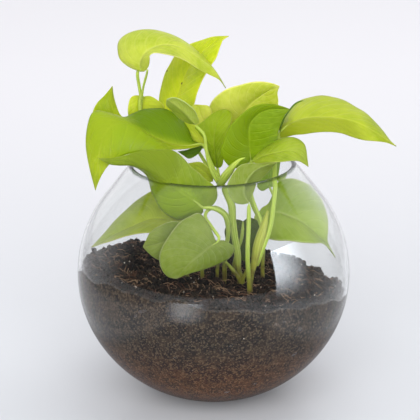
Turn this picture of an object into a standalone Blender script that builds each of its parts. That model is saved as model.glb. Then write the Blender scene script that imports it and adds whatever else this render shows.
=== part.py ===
"""A money plant growing in soil in a round glass vase. Units: metres, +Z up.

The origin is the middle of the vase's flat base, where it stands. The front is -Y.
Lengths below are written in millimetres and turned into metres by MM.
"""

import math

import bmesh
import bpy
from mathutils import Vector

MM = 0.001

# Glass vase: an egg-round bowl, cut flat below and open above, with a shoulder that eases up to its rim
BOWL_RADIUS = 75.0
BOWL_HALF_HEIGHT = 71.4
BOWL_CENTRE = 69.0
RIM_HEIGHT = 131.0
RIM_ANGLE = math.asin((RIM_HEIGHT - BOWL_CENTRE) / BOWL_HALF_HEIGHT)
COLLAR_START = 113.0
COLLAR_SPREAD = 7.0
WALL = 1.6
FOOT_THICKNESS = 4.6
BOWL_SEGMENTS = 48
PROFILE_STEPS = 12

# Soil: fills the bowl a little over half, highest in front on the left
SOIL_HEIGHT = 68.5
SOIL_SLOPE_X = -0.09
SOIL_SLOPE_Y = -0.10
SOIL_GRID = 24
SEAT_GAP = 0.3
HOLE_GAP = 0.35

# Leaves: blade thickness, and how finely a blade is divided along and across one half
BLADE = 0.7
ROWS = 12
COLUMNS = 3
STALK_RADIUS = 1.15
STALK_SIDES = 6

# One half of a blade's outline, as (along the midrib, out from it), both in parts of the whole:
# the notch at the stalk, the rounded lobe, the widest place, the shoulder and the drawn-out tip
MARGIN = (
    (0.00, 0.04),
    (-0.06, 0.14),
    (-0.085, 0.34),
    (-0.04, 0.62),
    (0.10, 0.90),
    (0.30, 1.00),
    (0.52, 0.86),
    (0.72, 0.56),
    (0.87, 0.24),
    (0.95, 0.075),
    (1.00, 0.0),
)


def leaf(foot, lean, droop, tip, right, left, roll, twist=0, fold=0.2, curl=0.1):
    """The shape of one blade, in millimetres and degrees.

    foot is where the blade meets its stalk and tip is its point. lean and droop are the handles that
    bend the midrib at those two ends. right and left are the widths of the two halves. roll turns the
    upper face about the midrib away from the front, and twist adds to it towards the tip. fold raises
    both halves from the midrib like a V, and curl bends their edges down again.
    """
    return dict(
        foot=foot, lean=lean, droop=droop, tip=tip, right=right, left=left,
        roll=roll, twist=twist, fold=fold, curl=curl,
    )


# The vine in the middle of the vase: one stem that forks just under the rim
CENTRE_STEM = ((4, -15, 57), (4, -15, 72), (6, -14, 89), (7, -14, 106), (5, -13, 117), (2, -12, 124))
CENTRE_LEAVES = {
    "left_large": leaf(
        (-7, -7, 144), (-14, -8, 16), (-8, 14, 27), (-60, -40, 130), 14, 20, 66, -18, -0.2, 0),
    "upright": leaf(
        (-21, 27.5, 150.5), (2, 1, 21), (-14, 0, -11), (9, 16.5, 197.5), 17, 17, -50, 0, 0.22, 0.1),
    "young": leaf((2, -7, 131.5), (0, -3, 20), (-3, -3, -3), (8.5, 0, 161), 7.5, 8, -45, 20, 0.27, 0.16),
    "small": leaf((-8, -19, 158), (-7, -5, 4), (2, 5, 1), (-23, -25, 173), 11, 10, 120, 20, 0.26, 0.08),
    "front_low": leaf((2, -44, 101), (-7, -3, -5), (5, 3, 6), (-20, -52, 83), 18, 20, 0, 0, -0.1, 0.1),
}
CENTRE_STALKS = {
    "left_large": ((5, -13, 114), (-1, -9, 127), (-5.5, -7.5, 137), (-7, -7, 144)),
    "upright": ((6, -13, 112), (0, 2, 122), (-10, 18, 136), (-21, 27, 150)),
    "young": ((4, -13, 120), (4, -10, 126), (2, -7, 131)),
    "small": ((2, -13, 123), (-2, -17, 137), (-5, -18, 149), (-8, -19, 158)),
    "front_low": (
        (7, -14, 98), (1, -23, 106), (-3, -34, 110), (-1, -42, 110), (2, -45, 105), (2, -44, 101)),
}
CENTRE_SPEAR = ((5, -14, 118), (8, -20, 128), (8.5, -27, 135), (8, -33, 141))

# The vine behind on the left, which reaches out over the rim to the highest leaf
BACK_STEM = ((-9, 1, 56), (-9, 1, 72), (-12, 5, 90), (-18, 8, 112), (-27, 10, 132), (-34, 8, 148))
BACK_LEAVES = {
    "top_arch": leaf(
        (-36, -2, 183), (-14, -1, 18), (-20, 12, 26), (7, -1, 174), 22, 14, -50, -26, -0.15, 0.0),
    "back_small": leaf(
        (-36, 12, 163), (1, -3, -5), (1, 0, 11), (-35, 23, 135), 12, 13, -20, 0, 0.24, 0.08),
    "left_back": leaf(
        (-44, 10, 138), (-6, 0, 12), (-3, 0, -14), (-54, 6, 174), 17, 16, -28, -10, 0.25, 0.08),
}
BACK_STALKS = {
    "top_arch": ((-33, 9, 145), (-37, 6, 155), (-38, 1, 169), (-36, -2, 183)),
    "back_small": ((-33, 9, 143), (-35, 10, 153), (-36, 12, 163)),
    "left_back": ((-29, 9, 136), (-36, 11, 139), (-44, 10, 138)),
}

# The vine on the right, with a sheath round the foot of the stalks that carry its leaves
RIGHT_STEM = ((18, -31, 57), (18, -31, 73), (23, -28, 82), (27, -22, 95), (29, -17, 107))
RIGHT_SHEATH = ((19, -31, 72), (23, -27, 83), (27, -21, 96), (30, -17, 110))
RIGHT_LEAVES = {
    "right_long": leaf(
        (36, -5, 150), (10, -6, 19), (-20, 3, 16), (96, -21, 146), 21.5, 13.5, -60, 5, -0.2, 0),
    "right_dark": leaf(
        (21, -8, 135), (-5, -5, 20), (-10, 4, -2), (38, -13, 166), 16.5, 15, 14, 10, 0.24, 0.07),
    "right_mid": leaf(
        (23, -19, 137), (14, -8, 8), (-6, 3, 12), (51, -24, 135), 12.5, 8, -66, 6, 0.06, 0),
    "top_right": leaf((12, 11, 146), (6, -2, 13), (-9, 2, -3), (36, -7, 176), 20, 18, 0, 9, 0.28, 0.1),
    "mid_back": leaf((28, 3, 116), (1, 1, 9), (-4, -3, -4), (40, 14, 134), 11, 11, 40, 0, 0.3, 0.09),
}
RIGHT_STALKS = {
    "right_long": ((28, -19, 103), (31, -15, 118), (33, -12, 133), (36, -5, 150)),
    "right_dark": ((25, -25, 88), (23, -14, 107), (21, -10, 122), (21, -8, 135)),
    "right_mid": ((27, -22, 96), (25, -20, 110), (22, -20, 125), (23, -20, 137)),
    "top_right": ((26, -24, 90), (17, -6, 116), (13, 6, 134), (12, 11, 146)),
    "mid_back": ((28, -20, 101), (29, -8, 107), (28, 3, 116)),
}

# Leaves that come out of the soil by themselves
SINGLE_LEAVES = {
    "leaf_front_left": leaf(
        (-1, -28, 112), (-1, -10, 5), (30, -7, 12), (-59, -34, 144), 16, 16, -17, 3, -0.3, 0.35),
    "leaf_inner_left": leaf(
        (-18, -14, 101), (-5, 4, 4), (17, -1, 7), (-63, -16, 90), 19, 20, 65, 20, 0.3, 0.05),
    "leaf_low_left": leaf(
        (-14, -35, 101), (-6, -1, 0), (6, 1, 3), (-38, -37, 92), 12, 11, 0, 0, 0.15, 0.1),
    "leaf_centre_front": leaf(
        (17, -38, 119), (1, -1, 14), (-1, 5, -4), (25.5, -34, 139.5), 11, 17, 40, -20, -0.3, 0.3),
    "leaf_right_inner": leaf(
        (27, 3, 101), (20, 2, 0), (-12, 3, 16), (64, 7, 75), 20, 21, -39, -30, 0.3, 0.0),
    "leaf_low_back": leaf(
        (16, -4, 98), (1, -1, -7), (-2, -1, 4), (18, -5, 76), 11, 10, 20, 0, 0.27, 0.13),
}
SINGLE_STALKS = {
    "leaf_front_left": (
        (10, -24, 58), (10, -24, 75), (9, -25, 93), (7, -27, 104), (4, -28, 111), (-1, -28, 112)),
    "leaf_inner_left": ((-14, -18, 57), (-14, -18, 72), (-13, -13, 84), (-14, -12, 93), (-18, -14, 101)),
    "leaf_low_left": ((-5, -24, 58), (-5, -24, 73), (-6, -26, 86), (-9, -31, 97), (-14, -35, 101)),
    "leaf_centre_front": ((19, -43, 58), (19, -43, 73), (19, -42, 95), (19, -40, 110), (17, -38, 119)),
    "leaf_right_inner": ((21, -9, 56), (21, -9, 71), (22, -3, 82), (24, 2, 93), (27, 3, 101)),
    "leaf_low_back": ((13, -6, 56), (13, -6, 70), (14, 1, 80), (15, 2, 90), (16, -4, 98)),
}

LEAF_GREEN = (0.3, 0.48, 0.05)
LEAF_LIME = (0.5, 0.64, 0.08)
SOIL_BROWN = (0.035, 0.022, 0.016)
GLASS_TINT = (0.93, 0.96, 0.97)


def clear_scene():
    for obj in list(bpy.data.objects):
        bpy.data.objects.remove(obj, do_unlink=True)


def new_collection(name):
    collection = bpy.data.collections.new(name)
    bpy.context.scene.collection.children.link(collection)
    return collection


def material(name, colour, roughness, alpha=1.0):
    mat = bpy.data.materials.new(name)
    mat.use_nodes = True
    shader = mat.node_tree.nodes["Principled BSDF"]
    shader.inputs["Base Color"].default_value = (*colour, 1.0)
    shader.inputs["Roughness"].default_value = roughness
    shader.inputs["Metallic"].default_value = 0.0
    shader.inputs["Alpha"].default_value = alpha
    return mat


def add_object(name, mesh, collection):
    obj = bpy.data.objects.new(name, mesh)
    collection.objects.link(obj)
    return obj


def finish(obj, mat):
    obj.data.materials.clear()
    obj.data.materials.append(mat)
    obj.data.shade_smooth()
    obj.data.set_sharp_from_angle(angle=math.radians(45))


def smooth_through(points, steps):
    """Points on a smooth curve through the given points, with steps of them for each stretch."""
    pts = [Vector(p) for p in points]
    ends = [2 * pts[0] - pts[1]] + pts + [2 * pts[-1] - pts[-2]]
    out = []
    for a, b, c, d in zip(ends, ends[1:], ends[2:], ends[3:]):
        for k in range(steps):
            t = k / steps
            out.append(
                0.5 * (2 * b + (c - a) * t + (2 * a - 5 * b + 4 * c - d) * t * t
                       + (3 * b - a - 3 * c + d) * t ** 3)
            )
    out.append(pts[-1])
    return out


def bowl_point(angle):
    """Radius and height of the bowl's outer face at an angle above its widest ring."""
    z = BOWL_CENTRE + BOWL_HALF_HEIGHT * math.sin(angle)
    rise = max(0.0, z - COLLAR_START) / (RIM_HEIGHT - COLLAR_START)
    return Vector((BOWL_RADIUS * math.cos(angle) + COLLAR_SPREAD * rise * rise, z))


def inside_point(angle, gap=0.0):
    """The bowl's inner face at that angle, or a face that keeps a gap to it."""
    step = 0.001
    along = bowl_point(angle + step) - bowl_point(angle - step)
    inward = Vector((-along.y, along.x)).normalized()
    low = max(0.0, -math.sin(angle)) ** 20
    return bowl_point(angle) + inward * (WALL + (FOOT_THICKNESS - WALL) * low + gap)


def spread(start, end, count):
    return [start + (end - start) * k / count for k in range(count + 1)]


def turned(name, profile, segments, collection):
    """A closed body turned about Z from a profile that ends on the axis at both ends."""
    mesh = bpy.data.meshes.new(name)
    verts = [(max(0.0, p[0]) * MM, 0.0, p[1] * MM) for p in profile]
    mesh.from_pydata(verts, [(i, i + 1) for i in range(len(verts) - 1)], [])
    obj = add_object(name, mesh, collection)
    screw = obj.modifiers.new("turn", "SCREW")
    screw.steps = segments
    screw.render_steps = segments
    screw.use_merge_vertices = True
    screw.merge_threshold = 0.00001
    return obj


def inside_angles():
    """The angles at which the bowl's inner face has its rings, from the bottom to the rim."""
    return spread(-math.pi / 2, RIM_ANGLE, PROFILE_STEPS)


def glass_bowl(collection):
    base = math.asin(-BOWL_CENTRE / BOWL_HALF_HEIGHT)
    outer = [bowl_point(a) for a in spread(RIM_ANGLE, base, PROFILE_STEPS)]
    inner = [inside_point(a) for a in inside_angles()]
    inner[0].x = 0.0
    middle = (outer[0] + inner[-1]) / 2
    across = outer[0] - middle
    up = Vector((-across.y, across.x))
    lip = [middle + across * math.cos(t) + up * math.sin(t) for t in spread(math.pi, 0, 6)]
    profile = inner[:-1] + lip + outer[1:] + [Vector((0.0, 0.0))]
    bowl = turned("glass_bowl", profile, BOWL_SEGMENTS, collection)
    finish(bowl, material("clear_glass", GLASS_TINT, 0.02, 0.3))
    return bowl


def soil_top(x, y):
    """Height of the soil's uneven surface in millimetres."""
    lumps = 1.3 * math.sin(0.11 * x + 0.6) * math.cos(0.13 * y + 0.4)
    lumps += 0.8 * math.sin(0.23 * x - 0.17 * y) + 0.6 * math.cos(0.31 * y + 0.19 * x)
    hollow = 3.0 * math.exp(-((x - 14) ** 2 + (y + 30) ** 2) / 300)
    return SOIL_HEIGHT + SOIL_SLOPE_X * x + SOIL_SLOPE_Y * y + lumps - hollow


def soil_ground(collection):
    """Everything below the soil's surface, as a block wider than the bowl."""
    bm = bmesh.new()
    bmesh.ops.create_grid(bm, x_segments=SOIL_GRID, y_segments=SOIL_GRID, size=80 * MM)
    for vert in bm.verts:
        vert.co.z = soil_top(vert.co.x / MM, vert.co.y / MM) * MM
    bmesh.ops.triangulate(bm, faces=bm.faces[:])
    skirt = bmesh.ops.extrude_face_region(bm, geom=bm.faces[:])
    for item in skirt["geom"]:
        if isinstance(item, bmesh.types.BMVert):
            item.co.z = -5 * MM
    bmesh.ops.recalc_face_normals(bm, faces=bm.faces[:])
    mesh = bpy.data.meshes.new("soil_ground")
    bm.to_mesh(mesh)
    bm.free()
    return add_object("soil_ground", mesh, collection)


def tube(name, points, radii, collection, sides=STALK_SIDES):
    """A closed round stalk through points in millimetres, with a radius for each given point."""
    steps = 2
    path = smooth_through(points, steps)
    curve = bpy.data.curves.new(name, "CURVE")
    curve.dimensions = "3D"
    curve.bevel_depth = MM
    curve.bevel_resolution = max(0, (sides - 4) // 2)
    curve.use_fill_caps = True
    spline = curve.splines.new("POLY")
    spline.points.add(len(path) - 1)
    for i, point in enumerate(path):
        k = min(i // steps, len(radii) - 2)
        t = i / steps - k
        spline.points[i].co = (*(point * MM), 1.0)
        spline.points[i].radius = radii[k] + (radii[k + 1] - radii[k]) * t
    guide = bpy.data.objects.new(name, curve)
    collection.objects.link(guide)
    obj = as_mesh(guide, name, collection)
    bpy.data.objects.remove(guide, do_unlink=True)
    return obj


def as_mesh(source, name, collection, weld=True):
    """A mesh object with the evaluated shape of source, welded where a curve's caps meet its sides."""
    graph = bpy.context.evaluated_depsgraph_get()
    graph.update()
    mesh = bpy.data.meshes.new_from_object(source.evaluated_get(graph))
    if weld:
        bm = bmesh.new()
        bm.from_mesh(mesh)
        bmesh.ops.remove_doubles(bm, verts=bm.verts[:], dist=0.00001)
        bmesh.ops.triangulate(bm, faces=bm.faces[:])
        bm.to_mesh(mesh)
        bm.free()
    obj = add_object(name, mesh, collection)
    obj.matrix_world = source.matrix_world
    return obj


def margin_at(u):
    """(along, out) on the blade's outline, from the notch at u = 0 to the tip at u = 1."""
    pts = [Vector(p) for p in MARGIN]
    ends = [2 * pts[0] - pts[1]] + pts + [2 * pts[-1] - pts[-2]]
    s = min(u * (len(pts) - 1), len(pts) - 1 - 1e-9)
    i = int(s)
    t = s - i
    a, b, c, d = ends[i:i + 4]
    curve = (2 * a - 5 * b + 4 * c - d) * t ** 2 + (3 * b - a - 3 * c + d) * t ** 3
    return 0.5 * (2 * b + (c - a) * t + curve)


def blade_frame(shape, along):
    """Point on the midrib, its direction, and the blade's sideways and upward directions there."""
    foot, tip = Vector(shape["foot"]), Vector(shape["tip"])
    first, second = foot + Vector(shape["lean"]), tip + Vector(shape["droop"])
    t = min(max(along, 0.0), 1.0)
    rest = 1 - t
    point = rest ** 3 * foot + 3 * t * rest ** 2 * first + 3 * t * t * rest * second + t ** 3 * tip
    ahead = rest ** 2 * (first - foot) + 2 * t * rest * (second - first) + t * t * (tip - second)
    ahead.normalize()
    point = point + min(along, 0.0) * (tip - foot).length * ahead
    front = Vector((0, -1, 0)) + ahead.y * ahead
    front.normalize()
    angle = math.radians(shape["roll"] + shape["twist"] * t)
    up = math.cos(angle) * front + math.sin(angle) * ahead.cross(front)
    return point, ahead, up.cross(ahead), up


def blade_point(shape, along, out):
    """A point of the blade in millimetres: along the midrib and out to the right (+) or left (-)."""
    point, ahead, side, up = blade_frame(shape, along)
    half = shape["right"] if out > 0 else shape["left"]
    b = out * half
    return point + b * side + (shape["fold"] * abs(b) - shape["curl"] * b * b / half) * up


def blade(name, shape, collection):
    """A blade of even thickness: a grid drawn out to the leaf's outline, then given its two faces."""
    bm = bmesh.new()
    bmesh.ops.create_grid(bm, x_segments=2 * COLUMNS, y_segments=ROWS, size=1.0)
    for vert in bm.verts:
        u = (vert.co.y + 1) / 2
        out = vert.co.x
        edge = margin_at(u)
        rib = max(edge.x, 0.1 * min(1.0, u / 0.4))
        along = rib + (edge.x - rib) * abs(out)
        vert.co = blade_point(shape, along, edge.y * out) * MM
    bmesh.ops.remove_doubles(bm, verts=bm.verts[:], dist=0.00005)
    bmesh.ops.triangulate(bm, faces=bm.faces[:])
    mesh = bpy.data.meshes.new(name)
    bm.to_mesh(mesh)
    bm.free()
    sheet = add_object(name, mesh, collection)
    solid = sheet.modifiers.new("thickness", "SOLIDIFY")
    solid.thickness = BLADE * MM
    solid.offset = 0.0
    obj = as_mesh(sheet, name, collection)
    bpy.data.objects.remove(sheet, do_unlink=True)
    return obj


def leaf_and_stalk(name, shape, route, collection, thick=STALK_RADIUS):
    """The bodies of one leaf: its blade, and its stalk running a little way out under the midrib."""
    under = []
    for along, depth in ((0.1, 0.5), (0.28, 0.0)):
        point, ahead, side, up = blade_frame(shape, along)
        under.append(point - depth * up)
    radii = [thick * 1.1] * 2 + [thick] * (len(route) - 2) + [thick * 0.7, thick * 0.15]
    return [
        blade(name + "_blade", shape, collection),
        tube(name + "_stalk", tuple(route) + tuple(under), radii, collection),
    ]


def fuse(name, bodies, collection):
    """One closed body from several that overlap."""
    work = bpy.data.collections.new(name + "_pieces")
    base = bodies[0]
    for body in bodies[1:]:
        work.objects.link(body)
    union = base.modifiers.new("fuse", "BOOLEAN")
    union.operation = "UNION"
    union.operand_type = "COLLECTION"
    union.collection = work
    union.solver = "MANIFOLD"
    joined = as_mesh(base, name, collection, weld=False)
    for body in bodies:
        bpy.data.objects.remove(body, do_unlink=True)
    bpy.data.collections.remove(work)
    keep_skin(joined)
    return joined


def keep_skin(obj):
    """Keeps the largest closed skin of a fused body, without the hair-thin edges that a union leaves."""
    bm = bmesh.new()
    bm.from_mesh(obj.data)
    short = [edge for edge in bm.edges if edge.calc_length() < 0.002 * MM]
    bmesh.ops.collapse(bm, edges=short)
    between = [vert for vert in bm.verts if len(vert.link_edges) == 2]
    bmesh.ops.dissolve_verts(bm, verts=between)
    bmesh.ops.triangulate(bm, faces=bm.faces[:])
    skins = []
    unseen = set(bm.faces)
    while unseen:
        skin = set()
        waiting = [unseen.pop()]
        while waiting:
            face = waiting.pop()
            skin.add(face)
            for edge in face.edges:
                for other in edge.link_faces:
                    if other in unseen:
                        unseen.discard(other)
                        waiting.append(other)
        skins.append(skin)
    skins.sort(key=len)
    bmesh.ops.delete(bm, geom=[face for skin in skins[:-1] for face in skin], context="FACES")
    bm.to_mesh(obj.data)
    bm.free()


def leafy_stem(name, stem, thick, leaves, stalks, extras, collection, mat):
    """A vine: its stem, every leaf on it, and anything more that grows from it."""
    bodies = [tube(name + "_stem", stem, thick, collection, 8)]
    for key, shape in leaves.items():
        bodies += leaf_and_stalk(key, shape, stalks[key], collection)
    bodies += extras
    vine = fuse(name, bodies, collection)
    finish(vine, mat)
    return vine


def plant(collection, cutters):
    """Every vine and single leaf, with the cutters for their holes in the soil."""
    lime = material("leaf_lime", LEAF_LIME, 0.45)
    green = material("leaf_green", LEAF_GREEN, 0.45)
    spear = [tube("spear", CENTRE_SPEAR, (1.2, 2.0, 1.3, 0.3), collection)]
    sheath = [tube("sheath", RIGHT_SHEATH, (2.0, 3.6, 3.0, 0.9), collection, 8)]
    leafy_stem("centre_vine", CENTRE_STEM, (2.2,) * 5 + (1.8,), CENTRE_LEAVES, CENTRE_STALKS,
               spear, collection, green)
    leafy_stem("back_vine", BACK_STEM, (1.7,) * 5 + (1.3,), BACK_LEAVES, BACK_STALKS,
               [], collection, lime)
    leafy_stem("right_vine", RIGHT_STEM, (2.0,) * 4 + (1.2,), RIGHT_LEAVES, RIGHT_STALKS,
               sheath, collection, lime)
    for name, shape in SINGLE_LEAVES.items():
        single = fuse(name, leaf_and_stalk(name, shape, SINGLE_STALKS[name], collection), collection)
        finish(single, green)
    for stem, radius in ((CENTRE_STEM, 2.2), (BACK_STEM, 1.7), (RIGHT_STEM, 2.0)):
        hole(stem, radius, cutters)
    for route in SINGLE_STALKS.values():
        hole(route, STALK_RADIUS * 1.1, cutters)


def hole(route, radius, cutters):
    """A plain round hole for the buried end of a stalk, a little wider and deeper than the stalk."""
    foot, top = Vector(route[0]), Vector(route[2])
    points = (foot - Vector((0, 0, 1.0)), Vector(route[1]), top)
    wide = radius * 1.1 + HOLE_GAP
    cutter = tube("hole", points, (wide, wide, wide), cutters, 8)
    cutter.hide_render = True
    cutter.display_type = "WIRE"


def soil(collection, cutters):
    side = [inside_point(a, SEAT_GAP) for a in inside_angles() if a < math.radians(30)]
    side[0].x = 0.0
    top = Vector((0.0, side[-1].y))
    body = turned("soil", [top] + side[::-1], BOWL_SEGMENTS, collection)
    ground = soil_ground(cutters)
    ground.hide_render = True
    ground.display_type = "WIRE"
    keep = body.modifiers.new("surface", "BOOLEAN")
    keep.operation = "INTERSECT"
    keep.object = ground
    keep.solver = "EXACT"
    holes = bpy.data.collections.new("soil_holes")
    for obj in list(cutters.objects):
        if obj.name.startswith("hole"):
            holes.objects.link(obj)
    cut = body.modifiers.new("holes", "BOOLEAN")
    cut.operation = "DIFFERENCE"
    cut.operand_type = "COLLECTION"
    cut.collection = holes
    cut.solver = "EXACT"
    finish(body, material("potting_soil", SOIL_BROWN, 0.95))
    return body


def main():
    clear_scene()
    parts = new_collection("money_plant_in_vase")
    cutters = new_collection("cutters")
    glass_bowl(parts)
    plant(parts, cutters)
    soil(parts, cutters)


main()
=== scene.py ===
# %% [markdown]
# # A money plant growing in a round glass bowl
# The real object is a clear glass bowl, a little over half full of potting soil, with several
# stems of a young trailing plant in it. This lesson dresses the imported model: every solid of it
# keeps its place, and finer pieces with real finishes take over what the camera sees.

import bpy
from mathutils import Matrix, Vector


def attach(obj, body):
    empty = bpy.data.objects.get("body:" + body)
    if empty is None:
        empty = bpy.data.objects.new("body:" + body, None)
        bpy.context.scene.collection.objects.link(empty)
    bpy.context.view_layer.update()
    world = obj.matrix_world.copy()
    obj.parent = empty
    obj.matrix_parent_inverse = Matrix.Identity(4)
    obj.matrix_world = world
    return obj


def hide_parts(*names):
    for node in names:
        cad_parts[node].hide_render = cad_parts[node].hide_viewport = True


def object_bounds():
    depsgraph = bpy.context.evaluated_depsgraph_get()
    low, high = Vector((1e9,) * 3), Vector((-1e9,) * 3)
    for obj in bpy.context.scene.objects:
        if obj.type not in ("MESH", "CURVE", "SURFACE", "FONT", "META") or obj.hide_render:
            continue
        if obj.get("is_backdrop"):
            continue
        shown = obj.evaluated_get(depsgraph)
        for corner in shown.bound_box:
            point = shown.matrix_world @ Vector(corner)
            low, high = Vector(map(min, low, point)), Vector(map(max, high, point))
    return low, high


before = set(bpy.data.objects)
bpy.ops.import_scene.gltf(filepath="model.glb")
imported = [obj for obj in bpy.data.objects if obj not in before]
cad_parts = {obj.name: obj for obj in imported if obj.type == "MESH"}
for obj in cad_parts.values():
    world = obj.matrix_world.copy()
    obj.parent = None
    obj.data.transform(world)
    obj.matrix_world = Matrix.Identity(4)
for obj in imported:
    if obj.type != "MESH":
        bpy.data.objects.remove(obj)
cad_box = [list(corner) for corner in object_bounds()]
print("packed nodes:", ", ".join(sorted(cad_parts)))

# %% The tools that the cells below share
import math
import random
from functools import partial

import bmesh
import bpy
import numpy as np
from mathutils import Matrix, Quaternion, Vector, noise

MM = 0.001
scene = bpy.context.scene
print("CAD box in mm:", [[round(1000 * v, 1) for v in corner] for corner in cad_box])

# %% [markdown]
# ## Camera
# The bowl's rim is seen as a flat ellipse, its foot as a shallow arc, and the walls hardly lean
# together. That fits a long lens about 0.9 m away, looking down by a little more than 17 degrees.
# The whole picture leans by a little over half a degree, so the camera does too.

# %% Camera
CAMERA_DOWN = math.radians(17.4)
CAMERA_LEAN = math.radians(-0.62)
CAMERA_DISTANCE = 0.9
LOOK_AT = Vector((-0.0016, 0.0, 0.1044))

camera_data = bpy.data.cameras.new("camera")
camera_data.sensor_width = 36
camera_data.lens = 141.05
camera = bpy.data.objects.new("camera", camera_data)
scene.collection.objects.link(camera)
ahead = Vector((0, math.cos(CAMERA_DOWN), -math.sin(CAMERA_DOWN)))
turn = Matrix.Rotation(math.pi / 2 - CAMERA_DOWN, 4, "X") @ Matrix.Rotation(CAMERA_LEAN, 4, "Z")
camera.matrix_world = Matrix.Translation(LOOK_AT - CAMERA_DISTANCE * ahead) @ turn
scene.camera = camera
scene.view_settings.view_transform = "Standard"
print("camera at", [round(v, 3) for v in camera.location])

# %% [markdown]
# ## Node helpers
# A finish is a small chain of shader nodes. Helpers keep the chains short: the main one adds a
# node and fills its inputs, with a value or with another node's output, and another starts a node
# group with named sockets. Colours are written as they look on a screen, from 0 to 255.


# %% Colours and nodes
def paint(red, green, blue):
    """A screen colour as the linear colour that shaders use."""
    parts = [c / 255 for c in (red, green, blue)]
    return tuple(c / 12.92 if c < 0.04 else ((c + 0.055) / 1.055) ** 2.4 for c in parts) + (1.0,)


def node(tree, kind, inputs=None, **settings):
    """A new node with its settings made and its inputs filled or linked."""
    made = tree.nodes.new("ShaderNode" + kind)
    for name, value in settings.items():
        setattr(made, name, value)
    for name, value in (inputs or {}).items():
        if isinstance(value, bpy.types.NodeSocket):
            tree.links.new(value, made.inputs[name])
        else:
            made.inputs[name].default_value = value
    return made


def math_node(tree, operation, *values):
    return node(tree, "Math", dict(enumerate(values)), operation=operation).outputs[0]


def times(tree, *values):
    return math_node(tree, "MULTIPLY", *values)


def object_place(tree):
    """Where a point lies on its object, in metres."""
    return node(tree, "TexCoord").outputs["Object"]


def parts_of(tree, vector):
    """The three parts of a vector, X, Y and Z."""
    return node(tree, "SeparateXYZ", {0: vector}).outputs


def sheet_place(tree):
    """Where a point lies on the UV map, across and along."""
    return parts_of(tree, node(tree, "UVMap").outputs[0])


def ramp(tree, value, low, high, start=0.0, end=1.0):
    """The value eased from start at low to end at high."""
    settings = {"Value": value, "From Min": low, "From Max": high, "To Min": start, "To Max": end}
    return node(tree, "MapRange", settings, interpolation_type="SMOOTHSTEP").outputs["Result"]


def blend_colours(tree, factor, first, second):
    return node(tree, "Mix", {0: factor, 6: first, 7: second}, data_type="RGBA").outputs[2]


def speckle(tree, scale, detail=2.0, where=None, rough=0.5):
    inputs = {"Scale": scale, "Detail": detail, "Roughness": rough}
    if where is not None:
        inputs["Vector"] = where
    return node(tree, "TexNoise", inputs).outputs["Fac"]


def new_group(name, inputs, outputs):
    """An empty node group with named sockets; both lists hold (name, kind)."""
    group = bpy.data.node_groups.new(name, "ShaderNodeTree")
    for in_out, sockets in (("INPUT", inputs), ("OUTPUT", outputs)):
        for label, kind in sockets:
            group.interface.new_socket(label, in_out=in_out, socket_type="NodeSocket" + kind)
    return group, group.nodes.new("NodeGroupInput").outputs, group.nodes.new("NodeGroupOutput").inputs


def use_group(tree, group, **inputs):
    made = tree.nodes.new("ShaderNodeGroup")
    made.node_tree = group
    for name, value in inputs.items():
        socket = made.inputs[name.replace("_", " ")]
        if isinstance(value, bpy.types.NodeSocket):
            tree.links.new(value, socket)
        else:
            socket.default_value = value
    return made.outputs


def new_finish(name, **values):
    """A material with one Principled shader, its plain values set on its own sockets."""
    finish = bpy.data.materials.new(name)
    finish.use_nodes = True
    tree = finish.node_tree
    shader = tree.nodes["Principled BSDF"]
    for label, value in values.items():
        shader.inputs[label.replace("_", " ")].default_value = value
    return finish, tree, shader


def set_colour(tree, shader, colour):
    tree.links.new(colour, shader.inputs["Base Color"])


def relief(tree, shader, height, distance, strength=1.0):
    """A Bump node that feeds the shader's normal."""
    bump = node(tree, "Bump", {"Height": height, "Distance": distance, "Strength": strength})
    tree.links.new(bump.outputs["Normal"], shader.inputs["Normal"])


def mottled_finish(name, roughness, patches, dark, light, grains, depth, strength):
    """Dark and light patches with a fine grain; patches and grains are noise scales."""
    finish, tree, shader = new_finish(name, Roughness=roughness, Specular_IOR_Level=0.3)
    where = object_place(tree)
    tone = ramp(tree, speckle(tree, patches, 2.0, where), 0.4, 0.6)
    set_colour(tree, shader, blend_colours(tree, tone, paint(*dark), paint(*light)))
    relief(tree, shader, speckle(tree, grains, 2.0, where), depth, strength)
    return finish


print("a light leaf green is", [round(v, 3) for v in paint(200, 215, 80)])

# %% [markdown]
# ## Floor and light
# The plant stands on a pale, slightly glossy table top that runs on far behind it, so one large
# round sheet is enough: it is brighter towards the back, where more light falls. The light is
# soft. It comes from a wide lamp above and behind, another in front and a bright room. What the
# glass mirrors of the room is darker on the viewer's side, which draws the thin dark lines in
# clear glass. The table top is dimmed too where gloss mirrors it, but not in a band at each side
# of the bowl, which leaves a pale haze on the soil's sides. That is an arrangement for this view.
# Two small lamps light no matt surface: a window at the right and a low one in front show as pale
# patches in the glass. From behind, the window also shows through the bowl.


# %% Floor
def table_top(radius, rings, around):
    bm = bmesh.new()
    middle = bm.verts.new((0, 0, 0))
    before = None
    for k in range(1, rings + 1):
        r = radius * (k / rings) ** 2
        ring = [bm.verts.new((r * math.cos(a), r * math.sin(a), 0))
                for a in np.linspace(0, 2 * math.pi, around, endpoint=False)]
        for j in range(around):
            near, far = ring[j], ring[(j + 1) % around]
            if before is None:
                bm.faces.new((middle, near, far))
            else:
                bm.faces.new((before[j], near, far, before[(j + 1) % around]))
        before = ring
    mesh = bpy.data.meshes.new("table_top")
    bm.to_mesh(mesh)
    bm.free()
    made = bpy.data.objects.new("table_top", mesh)
    scene.collection.objects.link(made)
    made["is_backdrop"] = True
    return made


MIRROR_DIM = 0.6

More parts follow.
